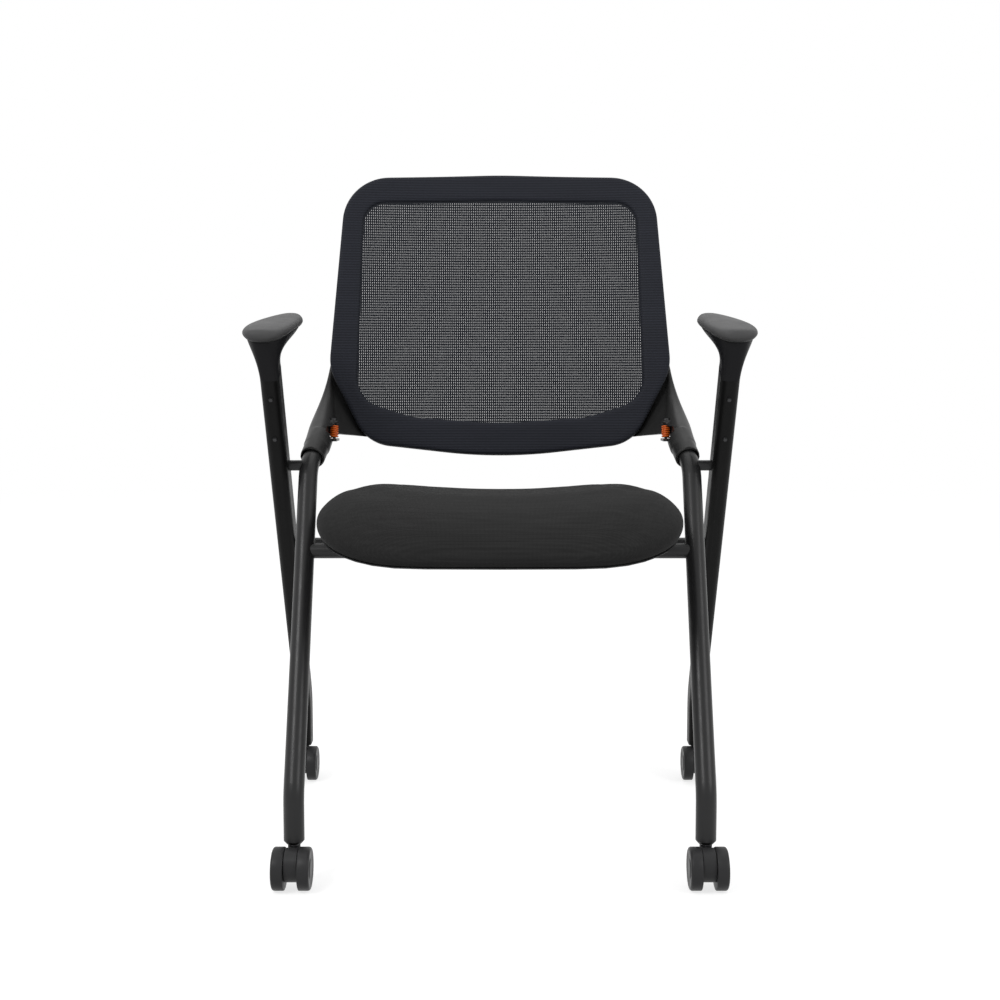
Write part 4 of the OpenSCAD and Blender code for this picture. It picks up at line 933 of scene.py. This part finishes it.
# Tilt springs
def make_spring(name, mirror):
    sides, turn = 12, 28
    coil_r = (SPRING_D - WIRE_D) / 2
    count = SPRING_TURNS * turn
    path = []
    for i in range(count + 1):
        t = i / count
        a = 2 * math.pi * SPRING_TURNS * t
        lift = lerp(WIRE_D / 2, SPRING_L - WIRE_D / 2, t)
        path.append(Vector((coil_r * math.cos(a), coil_r * math.sin(a), lift)))
    rings = []
    for i, p in enumerate(path):
        way = (path[min(i + 1, count)] - path[max(i - 1, 0)]).normalized()
        out = Vector((p.x, p.y, 0)).normalized()
        wide = (out - out.dot(way) * way).normalized()
        deep = way.cross(wide)
        rings.append([SPRING_AT + p + Vector((0, 0, FIT))
                      + WIRE_D / 2 * (math.cos(a) * wide + math.sin(a) * deep)
                      for a in (2 * math.pi * j / sides for j in range(sides))])
    bm = bmesh.new()
    skin(bm, rings)
    spring = new_piece("spring_wire_" + name, bm, "frame", ORANGE,
                       ["spring_" + name], mirror=mirror)
    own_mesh(spring)


# Caster wheels
WHEEL_EDGE, WHEEL_FACE, HUB_SHARE, WHEEL_SIDES = 3.2, 1.2, 0.44, 96


def make_wheel(node):
    """Twin-caster wheel: flat tread, rounded shoulders, and a face that dips round its hub."""
    low, high = (Vector(c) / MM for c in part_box(node))
    middle = (low + high) / 2
    r, wide = (high.z - low.z) / 2, high.x - low.x
    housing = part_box(node.split("_wheel_")[0] + "_housing")
    out = math.copysign(1, middle.x * MM - (housing[0].x + housing[1].x) / 2)
    hub = r * HUB_SHARE
    profile = [(0, hub * 0.5), (0, r - 1.2), (0.35, r - 0.35), (1.2, r)]
    profile += [(wide - WHEEL_EDGE + WHEEL_EDGE * math.sin(a),
                 r - WHEEL_EDGE + WHEEL_EDGE * math.cos(a))
                for a in (math.radians(15 * k) for k in range(7))]
    profile += [(wide - 0.3, r - WHEEL_EDGE - 2), (wide - WHEEL_FACE, hub + 3),
                (wide - WHEEL_FACE, hub + 0.8), (wide - 0.4, hub), (wide - 0.1, hub - 1.2),
                (wide, hub * 0.5), (wide, 1.0)]
    bm = bmesh.new()
    start = low.x if out > 0 else high.x
    rings = [[Vector((start + out * x, middle.y + PLAN_Y + d * math.cos(a),
                      middle.z + d * math.sin(a)))
              for a in (2 * math.pi * j / WHEEL_SIDES for j in range(WHEEL_SIDES))]
             for x, d in profile]
    skin(bm, rings)
    piece = new_piece(node + "_tyre", bm, node, WHEEL, [node])
    piece.data.set_sharp_from_angle(angle=math.radians(50))


make_cover()
make_net()
make_cushion()
for side_name, is_mirror in (("left", False), ("right", True)):
    make_arm_bracket(side_name, is_mirror)
    make_arm_pad(side_name, is_mirror)
    make_spring(side_name, is_mirror)
make_back_brackets()
for node_name in list(frame["nodes"]):
    if "_wheel_" in node_name:
        make_wheel(node_name)


# Floor and light
FLOOR_HALF, FLOOR_SHADE, FLOOR_GLOW = 6, 0.42, 0.74
WORLD_LIGHT, WORLD_SEEN = 0.6, 1.0


def plane(name, corners, mat):
    mesh = bpy.data.meshes.new(name)
    mesh.from_pydata(corners, [], [tuple(range(len(corners)))])
    obj = bpy.data.objects.new(name, mesh)
    bpy.context.scene.collection.objects.link(obj)
    obj.data.materials.append(mat)


def seen_white(nt):
    """1 for what the camera, a reflection or clear glass sees, and 0 for the light itself."""
    path = nt.nodes.new("ShaderNodeLightPath")
    seen = path.outputs["Is Camera Ray"]
    for name in ("Is Glossy Ray", "Is Transmission Ray"):
        either = nt.nodes.new("ShaderNodeMath")
        either.operation = "MAXIMUM"
        nt.links.new(seen, either.inputs[0])
        nt.links.new(path.outputs[name], either.inputs[1])
        seen = either.outputs[0]
    return seen


def floor_material():
    """Pale floor: white to the camera and to reflections, with the object's shadow."""
    mat = bpy.data.materials.new("pale_floor")
    mat.use_nodes = True
    shader = mat.node_tree.nodes["Principled BSDF"]
    shader.inputs["Base Color"].default_value = (FLOOR_SHADE, FLOOR_SHADE, FLOOR_SHADE, 1)
    shader.inputs["Roughness"].default_value = 0.9
    shader.inputs["Specular IOR Level"].default_value = 0.0
    shader.inputs["Emission Color"].default_value = (1, 1, 1, 1)
    glow = mat.node_tree.nodes.new("ShaderNodeMath")
    glow.operation = "MULTIPLY"
    glow.inputs[1].default_value = FLOOR_GLOW
    mat.node_tree.links.new(seen_white(mat.node_tree), glow.inputs[0])
    mat.node_tree.links.new(glow.outputs[0], shader.inputs["Emission Strength"])
    return mat


plane("floor", [(x * FLOOR_HALF, y * FLOOR_HALF, 0) for x, y in ((-1, -1), (1, -1), (1, 1), (-1, 1))],
      floor_material())


def area(name, size, power, loc, aim):
    data = bpy.data.lights.new(name, "AREA")
    data.shape = "RECTANGLE"
    data.size, data.size_y = size
    data.energy = power
    obj = bpy.data.objects.new(name, data)
    obj.location = loc
    obj.rotation_euler = (Vector(aim) - Vector(loc)).to_track_quat("-Z", "Y").to_euler()
    bpy.context.scene.collection.objects.link(obj)


area("key", (1.1, 0.9), 34, (-1.6, -1.9, 2.4), (0, 0, 0.5))
area("fill", (1.2, 1.2), 18, (2.1, -1.5, 1.7), (0, 0, 0.5))
area("top", (2.5, 2.5), 18, (0, 0.6, 3.0), (0, 0, 0.4))

world = bpy.data.worlds.new("world")
bpy.context.scene.world = world
world.use_nodes = True
nt = world.node_tree
background = nt.nodes["Background"]
mix = nt.nodes.new("ShaderNodeMix")
mix.data_type = "FLOAT"
mix.inputs["A"].default_value = WORLD_LIGHT
mix.inputs["B"].default_value = WORLD_SEEN
nt.links.new(seen_white(nt), mix.inputs["Factor"])
nt.links.new(mix.outputs["Result"], background.inputs["Strength"])
background.inputs["Color"].default_value = (1, 1, 1, 1)
bpy.context.scene.view_settings.view_transform = "Standard"
